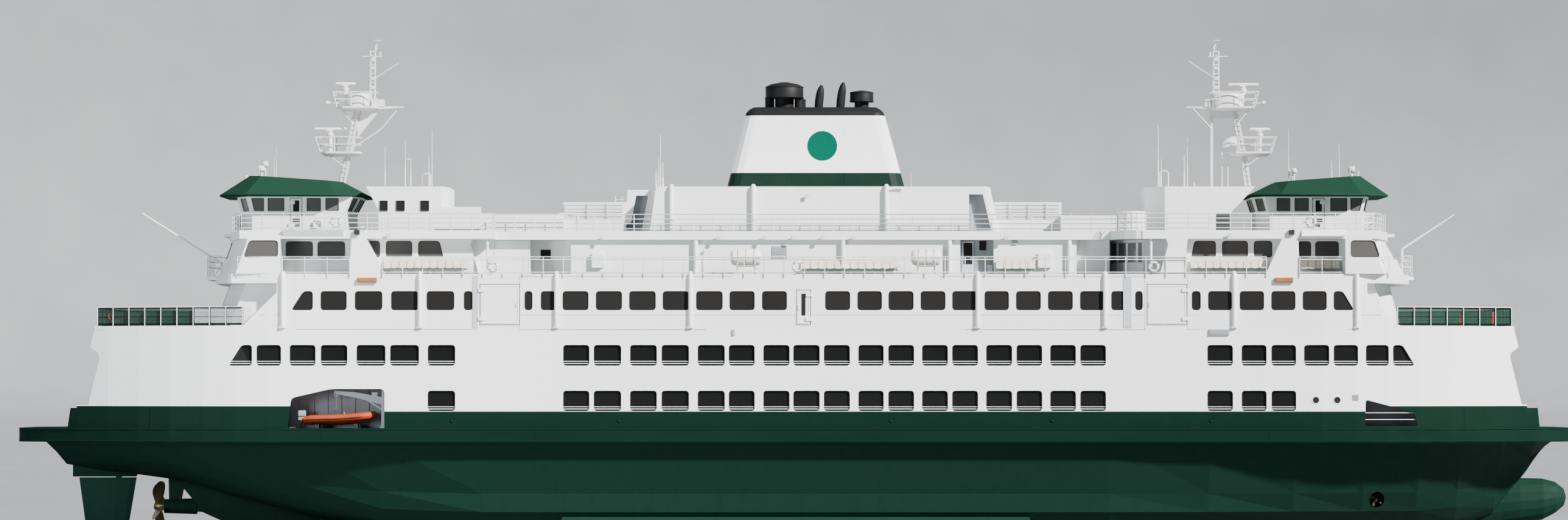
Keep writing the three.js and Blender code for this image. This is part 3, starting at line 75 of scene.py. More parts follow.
# Materials
class Graph:
    """A new material, with short calls for building its nodes."""

    def __init__(self, name):
        self.material = bpy.data.materials.new(name)
        self.material.use_nodes = True
        self.tree = self.material.node_tree
        self.shader = self.tree.nodes["Principled BSDF"]
        self.coords = self.new("ShaderNodeTexCoord").outputs["Object"]

    def new(self, kind, **inputs):
        node = self.tree.nodes.new(kind)
        for key, value in inputs.items():
            self.put(node.inputs[key.replace("_", " ")], value)
        return node

    def put(self, socket, value):
        if isinstance(value, bpy.types.NodeSocket):
            self.tree.links.new(value, socket)
        else:
            socket.default_value = value

    def math(self, kind, a, b=0.0):
        node = self.tree.nodes.new("ShaderNodeMath")
        node.operation = kind
        self.put(node.inputs[0], a)
        self.put(node.inputs[1], b)
        return node.outputs[0]

    def times(self, a, b):
        return self.math("MULTIPLY", a, b)

    def mix(self, factor, a, b, blend="MIX"):
        node = self.tree.nodes.new("ShaderNodeMix")
        node.data_type = "RGBA"
        node.blend_type = blend
        for index, value in ((0, factor), (6, a), (7, b)):
            self.put(node.inputs[index], value)
        return node.outputs[2]

    def stain(self, base, factor, tint):
        """The base, multiplied by a tint as far as the factor says."""
        return self.mix(factor, base, self.mix(1.0, base, (*tint, 1), "MULTIPLY"))

    def noise(self, scale, detail=4.0, stretch=(1, 1, 1)):
        mapping = self.new("ShaderNodeMapping", Vector=self.coords, Scale=stretch)
        return self.new("ShaderNodeTexNoise", Vector=mapping.outputs[0], Scale=scale, Detail=detail,
                        Roughness=0.55).outputs["Fac"]

    def span(self, value, low, high, to_low=0.0, to_high=1.0):
        return self.new("ShaderNodeMapRange", Value=value, From_Min=low, From_Max=high, To_Min=to_low,
                        To_Max=to_high).outputs[0]

    def runs(self):
        """Streaks down the plates."""
        return self.span(self.noise(3.0, 5.0, (7, 7, 0.5)), 0.52, 0.8)

    def scuffs(self):
        """Wear along the decks."""
        return self.span(self.noise(2.4, 6.0, (0.4, 1.6, 1)), 0.35, 0.75)

    def axes(self):
        return self.new("ShaderNodeSeparateXYZ", Vector=self.coords).outputs

    def bump(self, height, strength=0.3, distance=0.001):
        return self.new("ShaderNodeBump", Height=height, Strength=strength, Distance=distance).outputs[0]

    def seams(self, across, up):
        """Weld seams between plates, as a height map over X and Z."""
        x, y, z = self.axes()
        flat = self.new("ShaderNodeCombineXYZ", X=x, Y=z)
        brick = self.new("ShaderNodeTexBrick", Vector=flat.outputs[0], Scale=1.0, Mortar_Size=0.0035,
                         Mortar_Smooth=0.6, Brick_Width=across, Row_Height=up)
        return brick.outputs["Fac"]

    def finish(self, base, rough, normal, shine=0.5, metallic=0.0):
        """Joins the nodes to the shader. Constants are set on the shader's own sockets."""
        for key, value in (("Base Color", base), ("Roughness", rough), ("Normal", normal)):
            self.put(self.shader.inputs[key], value)
        self.shader.inputs["Metallic"].default_value = metallic
        self.shader.inputs["Specular IOR Level"].default_value = shine
        return self.material


def rgba(colour, scale=1.0):
    return (*(c * scale for c in colour), 1.0)


def paint(name, colour, rough=0.42, streaks=0.06, seams=None, split=None, shine=0.5):
    """Ship's paint: faint clouding, streaks down the plates, weld seams and an uneven gloss.

    split is (function of the graph giving a factor, second colour)."""
    g = Graph(name)
    base = rgba(colour)
    if split:
        base = g.mix(split[0](g), base, rgba(split[1]))
    base = g.stain(base, g.times(g.span(g.noise(1.3, 3.0), 0.3, 0.7), streaks), (0.8, 0.82, 0.84))
    base = g.stain(base, g.times(g.runs(), streaks * 1.6), (0.62, 0.6, 0.55))
    height = g.times(g.noise(60.0, 3.0), 0.15)
    if seams:
        line = g.seams(*seams)
        base = g.stain(base, g.times(line, 0.10), (0.6, 0.6, 0.6))
        height = g.math("ADD", height, g.times(line, 1.2))
    gloss = g.span(g.noise(9.0, 4.0), 0.3, 0.7, rough - 0.07, rough + 0.09)
    return g.finish(base, gloss, g.bump(height, 0.25), shine)


def shell_green(g):
    """1 below the edge of the green band, which steps up at both ends."""
    x, y, z = g.axes()
    ends = g.math("MAXIMUM", g.math("LESS_THAN", x, -3.2), g.math("GREATER_THAN", x, 4.15))
    return g.math("LESS_THAN", z, g.math("ADD", 0.3225, g.times(ends, 0.0375)))


def funnel_green(g):
    return g.math("LESS_THAN", g.axes()[2], FUNNEL_GREEN_TOP * MM)


def glass(name, colour, alpha):
    """Tinted glass with a faint unevenness."""
    g = Graph(name)
    tone = g.span(g.noise(1.1, 2.0), 0.3, 0.7)
    g.shader.inputs["Alpha"].default_value = alpha
    return g.finish(g.mix(tone, rgba(colour), rgba(colour, 1.25)), 0.06,
                    g.bump(g.noise(2.2, 1.0), 0.05, 0.004), 0.4)


def moulded(name, colour, rough=0.4, grain=90.0, strength=0.2, metallic=0.0, wear=0.12, shine=0.5):
    """Moulded, cast or rubbery stuff: a fine grain and a little uneven tone."""
    g = Graph(name)
    tone = g.span(g.noise(6.0, 5.0), 0.25, 0.75)
    gloss = g.span(g.noise(22.0, 3.0), 0.3, 0.7, rough - 0.08, rough + 0.08)
    return g.finish(g.mix(tone, rgba(colour, 1 - wear), rgba(colour, 1 + wear)), gloss,
                    g.bump(g.noise(grain, 2.0), strength, 0.0008), shine, metallic)


LANE_PITCH, LANE_LINE, LANE_END, LANE_HEIGHT = 0.27, 0.129, 4.3, 0.203


def lane_paint(name, colour):
    """Non-slip deck paint, with white lane lines inside the plating."""
    g = Graph(name)
    x, y, z = g.axes()
    base = g.mix(g.scuffs(), rgba(colour, 0.86), rgba(colour, 1.14))
    lane = g.math("FLOORED_MODULO", g.math("ABSOLUTE", y), LANE_PITCH)
    line = g.math("GREATER_THAN", g.math("ABSOLUTE", g.math("SUBTRACT", lane, LANE_PITCH / 2)), LANE_LINE)
    inside = g.math("LESS_THAN", g.math("ABSOLUTE", x), LANE_END)
    up = g.math("GREATER_THAN", z, LANE_HEIGHT)
    base = g.mix(g.times(line, g.times(inside, up)), base, (0.55, 0.55, 0.5, 1))
    return g.finish(base, g.span(g.noise(15.0, 3.0), 0.3, 0.7, 0.6, 0.78),
                    g.bump(g.noise(160.0, 2.0), 0.35), 0.03)


def deck_and_edge(name):
    """Green non-slip paint on top, white on the edges and underneath."""
    g = Graph(name)
    normal = g.new("ShaderNodeSeparateXYZ", Vector=g.new("ShaderNodeNewGeometry").outputs["True Normal"])
    up = g.math("GREATER_THAN", normal.outputs[2], 0.7)
    top = g.mix(g.scuffs(), (0.045, 0.10, 0.072, 1), (0.06, 0.13, 0.09, 1))
    edge = g.mix(g.times(g.runs(), 0.08), rgba(WHITE), rgba(WHITE, 0.7))
    return g.finish(g.mix(up, edge, top), g.math("ADD", 0.4, g.times(up, 0.28)),
                    g.bump(g.times(g.noise(120.0, 2.0), up)))


WHITE, GREEN, HULL = (0.80, 0.805, 0.81), (0.0028, 0.0145, 0.0092), (0.0055, 0.0235, 0.0155)
# The rudder's colour is the hull's green made 1.7 times lighter: painted light that makes up for the shade
# the guard casts on the rudder.
ROOF, INSIDE_SHADE_GREY, RUDDER_LIGHTENED_FOR_SHADE = (0.009, 0.033, 0.0205), (0.30, 0.31, 0.31), tuple(1.7 * c for c in HULL)
# Each finish by its short name: its slot, then its material
FINISHES = {
    "white": ("white_paint", paint("white_paint", WHITE, 0.4, 0.05, (1.15, 0.31))),
    "shell": ("white_paint",
              paint("shell_paint", WHITE, 0.5, 0.05, (1.2, 0.345), (shell_green, GREEN), 0.04)),
    "plain": ("white_paint", paint("plain_white", WHITE, 0.36, 0.04)),
    "green": ("green_paint", paint("green_paint", GREEN, 0.6, 0.12, (1.21, 2.0), shine=0.03)),
    "hull": ("hull_paint", paint("hull_paint", HULL, 0.6, 0.22, (1.25, 0.22), shine=0.05)),
    # Painted light: the rudder is the lightened hull green, so it reads as lit inside the guard's shade.
    "rudder": ("hull_paint", paint("rudder_paint_lightened_for_shade", RUDDER_LIGHTENED_FOR_SHADE, 0.6, 0.2, (0.6, 0.22), shine=0.05)),
    "roof": ("deck_paint", paint("roof_paint", ROOF, 0.65, 0.1, shine=0.02)),
    "grey": ("grey_paint", paint("grey_paint", (0.30, 0.32, 0.34), 0.45, 0.1)),
    "bluegrey": ("grey_paint", paint("bluegrey_paint", (0.42, 0.45, 0.50), 0.45, 0.06)),
    "lining": ("grey_paint", paint("lining_paint", (0.22, 0.24, 0.26), 0.5, 0.1, shine=0.3)),
    # The car deck's casing and gallery decks are mid grey rather than white: painted shade for the dim
    # inside of the car deck.
    "inside": ("grey_paint", paint("inside_shade_paint", INSIDE_SHADE_GREY, 0.7, 0.3, (0.6, 0.3), shine=0.1)),
    "slate": ("grey_paint", paint("slate_paint", (0.075, 0.077, 0.080), 0.6, 0.25, (0.3, 0.3), shine=0.1)),
    "black": ("black_paint", paint("black_paint", (0.009, 0.009, 0.0095), 0.55, 0.2, shine=0.12)),
    "funnel": ("white_paint",
               paint("funnel_paint", WHITE, 0.5, 0.05, split=(funnel_green, GREEN), shine=0.12)),
    "deck": ("deck_paint", deck_and_edge("deck_paint")),
    "car_deck": ("green_paint", lane_paint("car_deck_paint", GREEN)),
    "glass": ("window_glass", glass("window_glass", (0.014, 0.0135, 0.013), 0.94)),
    "car_glass_and_shade": ("window_glass", glass("car_deck_glass", (0.006, 0.0065, 0.0065), 0.9)),
    "dim_glass": ("window_glass", glass("dim_glass", (0.068, 0.065, 0.062), 0.92)),
    "light_glass": ("window_glass", glass("light_glass", (0.095, 0.092, 0.089), 0.82)),
    "haze_glass": ("window_glass", glass("haze_glass", (0.22, 0.222, 0.225), 0.86)),
    "green_glass": ("window_glass", glass("green_glass", (0.016, 0.040, 0.030), 0.62)),
    "gasket": ("dark_opening", moulded("gasket", (0.02, 0.02, 0.021), 0.6)),
    # The rails are white paint given as light grey: painted shade that keeps the thin bars apart from white
    # walls.
    "rail": ("white_paint", moulded("rail_white_greyed_for_shade", (0.62, 0.62, 0.61), 0.45, 200.0, 0.05, wear=0.04)),
    "steel": ("steel", moulded("steel", (0.40, 0.41, 0.42), 0.4, 150.0, 0.1, 0.6)),
    "bronze": ("bronze", moulded("bronze", (0.20, 0.155, 0.075), 0.38, 40.0, 0.25, 0.85, 0.3)),
    "orange": ("orange_rubber", moulded("orange_tube", (0.31, 0.036, 0.005), 0.5, 120.0, 0.15, shine=0.2)),
    "raft": ("raft_shell", moulded("raft_shell", (0.78, 0.77, 0.73), 0.34, 120.0, 0.1, wear=0.05)),
    "seat": ("seat", moulded("seat_shell", (0.62, 0.57, 0.49), 0.42, 140.0, 0.1)),
    "brown": ("brown_box", moulded("brown_box", (0.25, 0.085, 0.02), 0.5, 30.0, 0.4, wear=0.3)),
    "red": ("red_paint", moulded("red_paint", (0.42, 0.03, 0.02))),
    "dark": ("dark_opening", moulded("dark_metal", (0.02, 0.021, 0.022), 0.5, wear=0.3, shine=0.2)),
    "disc": ("green_paint",
             moulded("green_disc", (0.0, 0.07, 0.043), 0.5, 90.0, 0.05, wear=0.05, shine=0.1)),
    "lamp": ("lamp_glass", moulded("lamp_glass", (0.7, 0.7, 0.68), 0.1, 60.0, 0.1)),
}


# Mesh making
def turns(count):
    """Even angles of a full turn."""
    return [2 * math.pi * k / count for k in range(count)]


def curve(a, b, c, steps):
    """Points of a curve from a to c that bends towards b."""
    return [tuple(a * (1 - t) ** 2 + b * 2 * t * (1 - t) + c * t * t) for t in steps]


def rounded(points, radius):
    """A closed outline with every corner rounded."""
    result = []
    points = [Vector(p) for p in points]
    for before, corner, after in zip(points[-1:] + points, points, points[1:] + points[:1]):
        back, on = before - corner, after - corner
        reach = min(radius, back.length * 0.48, on.length * 0.48)
        result += curve(corner + back.normalized() * reach, corner, corner + on.normalized() * reach,
                        (0, 0.25, 0.5, 0.75, 1))
    return result


def rect(x0, x1, z0, z1):
    return [(x0, z0), (x1, z0), (x1, z1), (x0, z1)]


def circle(cx, cz, radius, steps=24):
    return [(cx + radius * math.cos(a), cz + radius * math.sin(a)) for a in turns(steps)]


def inset(points, by):
    """A closed outline moved inwards by a distance."""
    points = [Vector(p) for p in points]
    after = points[1:] + points[:1]
    turn = 1 if sum(p.x * q.y - q.x * p.y for p, q in zip(points, after)) > 0 else -1
    result = []
    for o, p, q in zip(points[-1:] + points, points, after):
        n1, n2 = (Vector((-d.y, d.x)) * turn for d in ((p - o).normalized(), (q - p).normalized()))
        both = (n1 + n2).normalized()
        result.append(tuple(p + both * (by / max(0.3, both.dot(n1)))))
    return result


def straight_on(x, depth, z):
    return (x, depth, z)


class Build:
    """Collects simple solids, in millimetres, into one mesh."""

    def __init__(self):
        self.points = []
        self.faces = []

    def add(self, points, faces):
        base = len(self.points)
        self.points += [tuple(p) for p in points]
        self.faces += [[base + i for i in face] for face in faces]
        return self

    def box(self, x, y, z):
        points = [(x[i], y[j], z[k]) for i in (0, 1) for j in (0, 1) for k in (0, 1)]
        return self.add(points, [(0, 1, 3, 2), (4, 6, 7, 5), (0, 4, 5, 1), (2, 3, 7, 6), (0, 2, 6, 4),
                                 (1, 5, 7, 3)])

    def rings(self, rings, closed=False):
        """A skin through rings of equally many points, with flat ends."""
        size, count = len(rings[0]), len(rings)
        faces = []
        for r in range(count if closed else count - 1):
            for i in range(size):
                j, s = (i + 1) % size, (r + 1) % count
                faces.append((r * size + i, r * size + j, s * size + j, s * size + i))
        if not closed:
            faces += [tuple(range(size))[::-1], tuple((count - 1) * size + i for i in range(size))]
        return self.add([p for ring in rings for p in ring], faces)

    def side(self, outline, y, put=straight_on):
        """An outline (x, z) carried along Y, or through a placing function of (x, depth, z)."""
        return self.rings([[put(x, depth, z) for x, z in outline] for depth in y])

    def frame(self, outer, inner, y, put=straight_on):
        """A flat ring between two outlines of equally many points."""
        loops = ((outer, y[0]), (outer, y[1]), (inner, y[1]), (inner, y[0]))
        return self.rings([[put(x, depth, z) for x, z in loop] for loop, depth in loops], closed=True)

    def tube(self, path, radius, sides=6, closed=False):
        """A round tube along a path. radius is one number or one for each point."""
        pts = [Vector(p) for p in path]
        count = len(pts)
        radii = radius if isinstance(radius, (list, tuple)) else [radius] * count
        rings = []
        side = None
        for i, p in enumerate(pts):
            if closed:
                along = pts[(i + 1) % count] - pts[i - 1]
            else:
                along = pts[min(i + 1, count - 1)] - pts[max(i - 1, 0)]
            along.normalize()
            if side is None:
                side = along.orthogonal().normalized()
            side = (side - along * side.dot(along)).normalized()
            other = along.cross(side)
            rings.append([p + (side * math.cos(a) + other * math.sin(a)) * radii[i] for a in turns(sides)])
        return self.rings(rings, closed)

    def post(self, x, y, z0, z1, radius, sides=6):
        return self.tube([(x, y, z0), (x, y, z1)], radius, sides)

    def hoop(self, centre, radius, thick, axis="y", steps=24, sides=8):
        cx, cy, cz = centre
        path = [{"y": (cx + u, cy, cz + v), "z": (cx + u, cy + v, cz), "x": (cx, cy + u, cz + v)}[axis]
                for u, v in circle(0, 0, radius, steps)]
        return self.tube(path, thick, sides, closed=True)

    def turned(self, centre, profile, sides, axis="z"):
        """A solid turned about an axis. The profile's columns: place along the axis, radius."""
        x, y, z = centre
        return self.rings([[(x + d, y + u, z + v) if axis == "x" else (x + u, y + v, z + d)
                            for u, v in circle(0, 0, r, sides)] for d, r in profile])

    def ball(self, centre, radius, flat=1, rows=8, sides=14):
        profile = [(flat * radius * math.sin(a), radius * math.cos(a))
                   for a in (math.pi * r / rows - math.pi / 2 for r in range(1, rows))]
        return self.turned(centre, profile, sides)

    def both_sides(self):
        """Adds the same solids on the other side of the centreline."""
        return self.add([(x, -y, z) for x, y, z in self.points], [face[::-1] for face in list(self.faces)])

    def make(self, name, finish, smooth=None, bevel=0.0, body="ship", stands_for=()):
        mesh = bpy.data.meshes.new(name)
        mesh.from_pydata([(x * MM, y * MM, z * MM) for x, y, z in self.points], [], self.faces)
        work = bmesh.new()
        work.from_mesh(mesh)
        bmesh.ops.recalc_face_normals(work, faces=work.faces)
        work.to_mesh(mesh)
        work.free()
        piece = bpy.data.objects.new(name, mesh)
        bpy.context.scene.collection.objects.link(piece)
        slot, material = FINISHES[finish]
        mesh.materials.append(material)
        if bevel:
            modifier = piece.modifiers.new("bevel", "BEVEL")
            modifier.width = bevel * MM
            modifier.segments = 2
            modifier.limit_method = "ANGLE"
            modifier.angle_limit = math.radians(40)
        if smooth is not None:
            mesh.shade_smooth()
            mesh.set_sharp_from_angle(angle=math.radians(smooth))
        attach(piece, body)
        if stands_for:
            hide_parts(*stands_for)

    def make_both(self, *args):
        self.both_sides().make(*args)


# CAD nodes that stay get their finish here
def dress(finish, *names, smooth=30):
    for name in names:
        mesh = NODES[name].data
        mesh.materials.clear()
        mesh.materials.append(FINISHES[finish][1])
        mesh.shade_smooth()
        mesh.set_sharp_from_angle(angle=math.radians(smooth))


dress("shell", "side_shell_starboard", "side_shell_port", smooth=12)
dress("white", "passenger_cabin", "sun_house_left", "sun_house_right", "centre_house", "upper_house",
      "bridge_house_left", "bridge_house_right", "pilothouse_left", "pilothouse_right", "shelter")
dress("hull", "hull")
dress("rudder", "rudder")
dress("car_deck", "car_deck", smooth=12)
dress("deck", "passenger_deck", "sun_deck", "bridge_deck")
# Painted shade: the inside of the car deck is grey rather than white.
dress("inside", "gallery_deck_starboard", "gallery_deck_port", "centre_casing")
dress("roof", "pilothouse_roof_left", "pilothouse_roof_right")
dress("funnel", "funnel")
dress("black", "funnel_cap")
dress("bronze", "propeller", "thruster_propeller")
dress("orange", "rescue_boat")
dress("bluegrey", "davit")
dress("green", "end_screen_left", "end_screen_right")
dress("plain", "mast_left", "mast_right", "sight_pole_left", "sight_pole_right")
for name in NODES:
    if name.startswith(("radar", "raft")):
        dress("raft", name)
    if "door" in name:
        dress("plain", name)

# Side openings of the car deck. Columns: x, width
UPPER_ROW = [
    (-3763, 175), (-3531, 184), (-3314, 189), (-3064, 205), (-2830, 205), (-2567, 195), (-1622, 186),
    (-1408, 194), (-1155, 190), (-935, 194), (-683, 192), (-466, 184), (-225, 186), (-16, 187), (198, 184),
    (438, 180), (647, 183), (883, 183), (1093, 183), (1330, 184), (1542, 182), (1777, 182), (1987, 182),
    (2874, 181), (3113, 177), (3321, 175), (3549, 179), (3756, 175), (3983, 166),
]
UPPER_Z, LOWER_Z = (641, 788), (324, 469)
UPPER_OUTLINES = [rect(x, x + w, *UPPER_Z) for x, w in UPPER_ROW] + [
    [(-3962, 641), (-3791, 641), (-3791, 788), (-3867, 788)],
    [(4177, 641), (4338, 641), (4248, 788), (4177, 788)]]
LOWER_OUTLINES = [rect(x, x + w, *LOWER_Z) for x, w in UPPER_ROW if -2600 < x < 3400]


def on_skin(x, depth, z):
    """A point on the starboard plating, depth inwards from its outer face."""
    return (x, -(skin(x) - depth), z)


def on_wall(half):
    """A placing function for a flat starboard wall at a half-breadth."""
    return lambda x, depth, z: (x, -half + depth, z)


def car_openings():
    trim, bars, panes = Build(), Build(), Build()
    for outline in UPPER_OUTLINES + LOWER_OUTLINES:
        trim.frame(rounded(outline, 1.0), rounded(inset(outline, 1.4), 24), (0.2, PLATE_THICK), on_skin)
        # Near-black panes in every opening: glass in the upper row; in the lower row the same dark sheet is
        # painted shade for the dim car deck behind.
        panes.side(rounded(inset(outline, 0.9), 23), (16, 19), on_skin)
        (x0, low), (x1, _) = outline[:2]
        for z in (low + 16, low + 31):
            bars.tube([on_skin(x0 + 3, 12, z), on_skin(x1 - 5, 12, z)], 2.6)
    panes.make_both("car_opening_panes_and_shade", "car_glass_and_shade")
    trim.make_both("car_opening_trim", "plain", 40)
    bars.make_both("car_opening_bars", "rail", 60)


def windows(name, outlines, place, thick=WALL, radius=26, pane="glass", lip=1.2, sink=7, end=False):
    """Window trims that round the corners of cut openings, dark gaskets and panes.

    In the fronts (end) the trims lap the wall, and the outlines are in y and z."""
    trim, gasket, panes = Build(), Build(), Build()
    lap, near, far, rim = (1.5, 0.3, thick - 1, 5) if end else (0, 0.2, thick, 3.5)
    for outline in outlines:
        inner = rounded(inset(outline, lip), radius)
        trim.frame(rounded(inset(outline, -lap), 0.6), inner, (near, far), place)
        seal = rounded(inset(outline, lip + 4), max(1, radius - 4))
        gasket.frame(rounded(inset(outline, lip - 0.5), radius), seal, (sink - rim, sink + 4), place)
        panes.side(inner if end else rounded(inset(outline, lip + 1), radius), (sink, sink + 3), place)
    for build, part, *looks in ((trim, "trim", "plain", 40), (gasket, "gasket", "gasket", 40),
                                (panes, "glass", pane)):
        (build.make if end else build.make_both)(f"{name}_{part}", *looks)


# Passenger cabin windows. Columns: x, width
CABIN_WINDOWS = [
    (-3316, 186), (-3077, 196), (-2824, 194), (-2576, 197), (-2316, 66), (-1892, 59), (-1779, 107),
    (-1627, 185), (-1395, 187), (-1162, 189), (-928, 187), (-695, 189), (-462, 180), (-235, 178),
    (206, 178), (431, 175), (648, 179), (872, 177), (1093, 176), (1318, 174), (1538, 177), (1761, 177),
    (1985, 172), (2203, 104), (2370, 56), (2765, 66), (2879, 169), (3099, 174), (3320, 172), (3539, 172),
]
CABIN_Z, SUN_Z = (1027, 1164), (1397, 1518)
CABIN_OUTLINES = [rect(x, x + w, *CABIN_Z) for x, w in CABIN_WINDOWS] + [
    [(-3523, 1027), (-3366, 1027), (-3366, 1164), (-3435, 1164)],
    [(3756, 1027), (3905, 1027), (3823, 1164), (3756, 1164)]]
car_openings()
windows("cabin_windows", CABIN_OUTLINES, on_skin)


# Rails
def walk(path, step):
    """Points at even steps along a plan path."""
    result = []
    for (ax, ay), (bx, by) in zip(path, path[1:]):
        count = max(1, round(math.hypot(bx - ax, by - ay) / step))
        result += [(ax + (bx - ax) * i / count, ay + (by - ay) * i / count) for i in range(count)]
    return result + [path[-1]]


def rail(build, path, foot, heights, step=146, thick=3.4):
    """Rails at several heights over a plan path, on posts at even steps."""
    for z in heights:
        build.tube([(x, y, z) for x, y in path], thick)
    for x, y in walk(path, step):
        build.post(x, y, foot, max(heights), thick)


# Runs along the sun deck's edge, clear of the slanted pillars. Columns: from, to
SUN_RUNS = [(-3895, -3112), (-2882, 3288), (3520, 4150)]
BRIDGE_RUN = [(-3990, 0), (-3990, -598), (-3870, -1203), (-2112, -1203), (-2112, -955), (2222, -955),
              (2248, -1048), (2306, -1138), (2384, -1188), (2449, -1203), (4066, -1203), (4184, -598),
              (4184, 0)]


def deck_rails():
    sun, bridge = Build(), Build()
    for x0, x1 in SUN_RUNS:
        path = [(x, -skin(x) - 7) for x in np.linspace(x0, x1, round((x1 - x0) / 585) + 1)]
        rail(sun, path, 1258, (1294, 1383, 1401))
    for tip, back in ((-4206, -4108), (4419, 4350)):
        rail(sun, [(tip, 0), (tip, -208), (back, -236)], SUN_DECK, (1352, 1392, 1430), 105)
        sun.tube([(tip, -208, SUN_DECK + 6), (back, -236, 1430)], 3)
    rail(bridge, BRIDGE_RUN, BRIDGE_DECK, (1605, 1640, 1673, 1706), 142)
    sun.make_both("sun_deck_rails", "rail", 60)
    bridge.make_both("bridge_deck_rails", "rail", 60)


deck_rails()

# Fittings on the side plating
# Raised plate edges on the passenger level: lists of (x, z). Those at RIB_Z are thinner. They are grey, a
# painted shadow along each edge.
RIB_Z = 995
PLATE_EDGES = [
    [(-622, 893), (-1923, 893), (-1923, 1264), (-444, 1264)],
    [(1004, 1264), (2439, 1264), (2439, 893), (1186, 893)],
    [(-3484, 895), (-2223, 895)], [(-3743, 997), (-3569, 997)], [(2740, 1264), (2740, 895), (3882, 895)],
    [(3949, 997), (4094, 997)], [(-1923, RIB_Z), (4, RIB_Z)], [(112, RIB_Z), (2439, RIB_Z)],
    [(2740, RIB_Z), (3900, RIB_Z)],
]
GREEN_SEAMS = [-4521, -3994, 4695]
# Drain pipes down the passenger level, and flat strips beside its doors. Columns: x, half-width
DRAIN_PIPES = [-3578, -2620, -1667, -731, 1273, 2163, 3065, 3923]
DOOR_SIDE_STRIPS = [(-2234, 20), (2318, 30)]
SCUPPERS = [-2393, -1225, 673, 1798, 2906]
PORTHOLES = [(3632, 402), (3782, 402)]


def shell_fittings():
    edges, seams, boxes, pipes, strips, grey, rims, dark = (Build() for _ in range(8))
    for line in PLATE_EDGES:
        edges.tube([on_skin(x, 0, z) for x, z in line], 1.3 if line[0][1] == RIB_Z else 2.2)
    for x in GREEN_SEAMS:
        seams.tube([on_skin(x, 0, z) for z in (212, 350)], 2.2)
    for x, thick in ((-1814, 2.4), (-3300, 1.8), (3300, 1.8)):
        seams.post(x, -HALF_BEAM, HULL_TOP + 2, GUARD_TOP - 2, thick)
    # The raised edges are grey rather than white: painted shadow lines along them.
    edges.make_both("plate_edge_shadow_lines", "grey", 60)
    seams.make_both("weld_beads", "green", 60)
    for x in DRAIN_PIPES:
        face = -skin(x) - 9
        bend = [(x, face + 5 * i, 1262 + 26 * math.sin(i * 0.55)) for i in range(6)]
        pipes.tube([(x, face, 906)] + bend, 16, 12)
        pipes.box((x - 20, x + 20), (face - 10, face + 10), (905, 916))
    # Flat blue-grey strips beside the doors, darker than the white plating around them.
    for x, half in DOOR_SIDE_STRIPS:
        strips.box((x - half, x + half), (-skin(x) - 3, -skin(x) + 1), (905, 1270))
    pipes.make_both("drain_pipes_plain", "plain", 40, 3)
    strips.make_both("drain_pipes_bluegrey", "bluegrey", 40, 3)
    for x0, x1 in ((-3055, -2921), (3347, 3475)):
        boxes.box((x0, x1), (-skin(x0) - 22, -skin(x0) + 1), (1222, 1256))
        boxes.box((x0 + 6, x1 - 6), (-skin(x0) - 25, -skin(x0) - 20), (1227, 1251))
    boxes.make_both("brown_boxes", "brown", None, 2)
    grey.box((2889, 3029), (-SKIN - 14, -SKIN + 1), (855, PLATE_TOP))
    for i in range(4):
        grey.box((2893, 3025), (-SKIN - 17, -SKIN - 12), (859 + 9 * i, 863 + 9 * i))
    grey.box((-440, -423), (-SKIN - 10, -SKIN + 1), (852, 895))
    for i in range(5):
        grey.box((3887, 3933), (-skin(3887) - 4, -skin(3887) + 4), (402 + 8 * i, 407 + 8 * i))
    grey.make_both("vent_boxes", "grey", None, 1.5)
    for x, z in PORTHOLES:
        rims.frame(circle(x, z, 28), circle(x, z, 23), (-3, 2), on_skin)
        dark.side(circle(x, z, 23), (-0.5, 2), on_skin)
    for x in SCUPPERS:
        rims.frame(circle(x, 262, 14, 16), circle(x, 262, 10, 16), (-5, 2), on_skin)
        dark.side(circle(x, 262, 10, 16), (-1, 2), on_skin)
        dark.box((x - 150, x - 95), (-SKIN - 2, -SKIN + 1), (209, 213))
    rims.make_both("porthole_rims", "shell", 40)
    dark.make_both("porthole_glass", "glass", 40)


def guard_trim():
    """Half-round bars along the guard's edges, and rails across the mooring bays."""
    back = 3
    end, straight = HALF_LENGTH - back, HALF_LENGTH - GUARD_CORNER
    side = [(x, back - guard_half(x)) for x in np.linspace(-straight, straight, 60)]
    corner = curve(Vector(side[-1]), Vector((end, back - END_HALF_BEAM)),
                   Vector((end, GUARD_CORNER - END_HALF_BEAM)), (0.2, 0.4, 0.6, 0.8, 1.0))
    half = [(-x, y) for x, y in corner[::-1]] + side + corner
    bars = Build()
    for z in (HULL_TOP + 9, GUARD_TOP - 7):
        bars.tube([(x, y, z) for x, y in half + [(x, -y) for x, y in half[::-1]]], 6, 8, closed=True)
    bars.make("guard_bars", "green", 50)
    for name, sign in (("mooring_bay_rails", 1), ("mooring_bay_rails_port", -1)):
        bay = Build()
        for z, far in ((266, 4349), (313, 4329)):
            bay.tube([(x, sign * y, h) for x, y, h in (on_skin(3981, 14, z), on_skin(far, 14, z))], 2.8, 8)
        bay.make(name, "rail", 50)


shell_fittings()
guard_trim()


# Glass in the ends of the houses, which follow a folded front
def front(ys, low, high, zs, direction):
    """A placing function for (y, depth, z) on a front with two levels of plan points."""
    def place(y, depth, z):
        t = (z - zs[0]) / (zs[1] - zs[0])
        at_low, at_high = (float(np.interp(abs(y), ys, xs)) for xs in (low, high))
        return (at_low * (1 - t) + at_high * t - direction * depth, y, z)
    return place


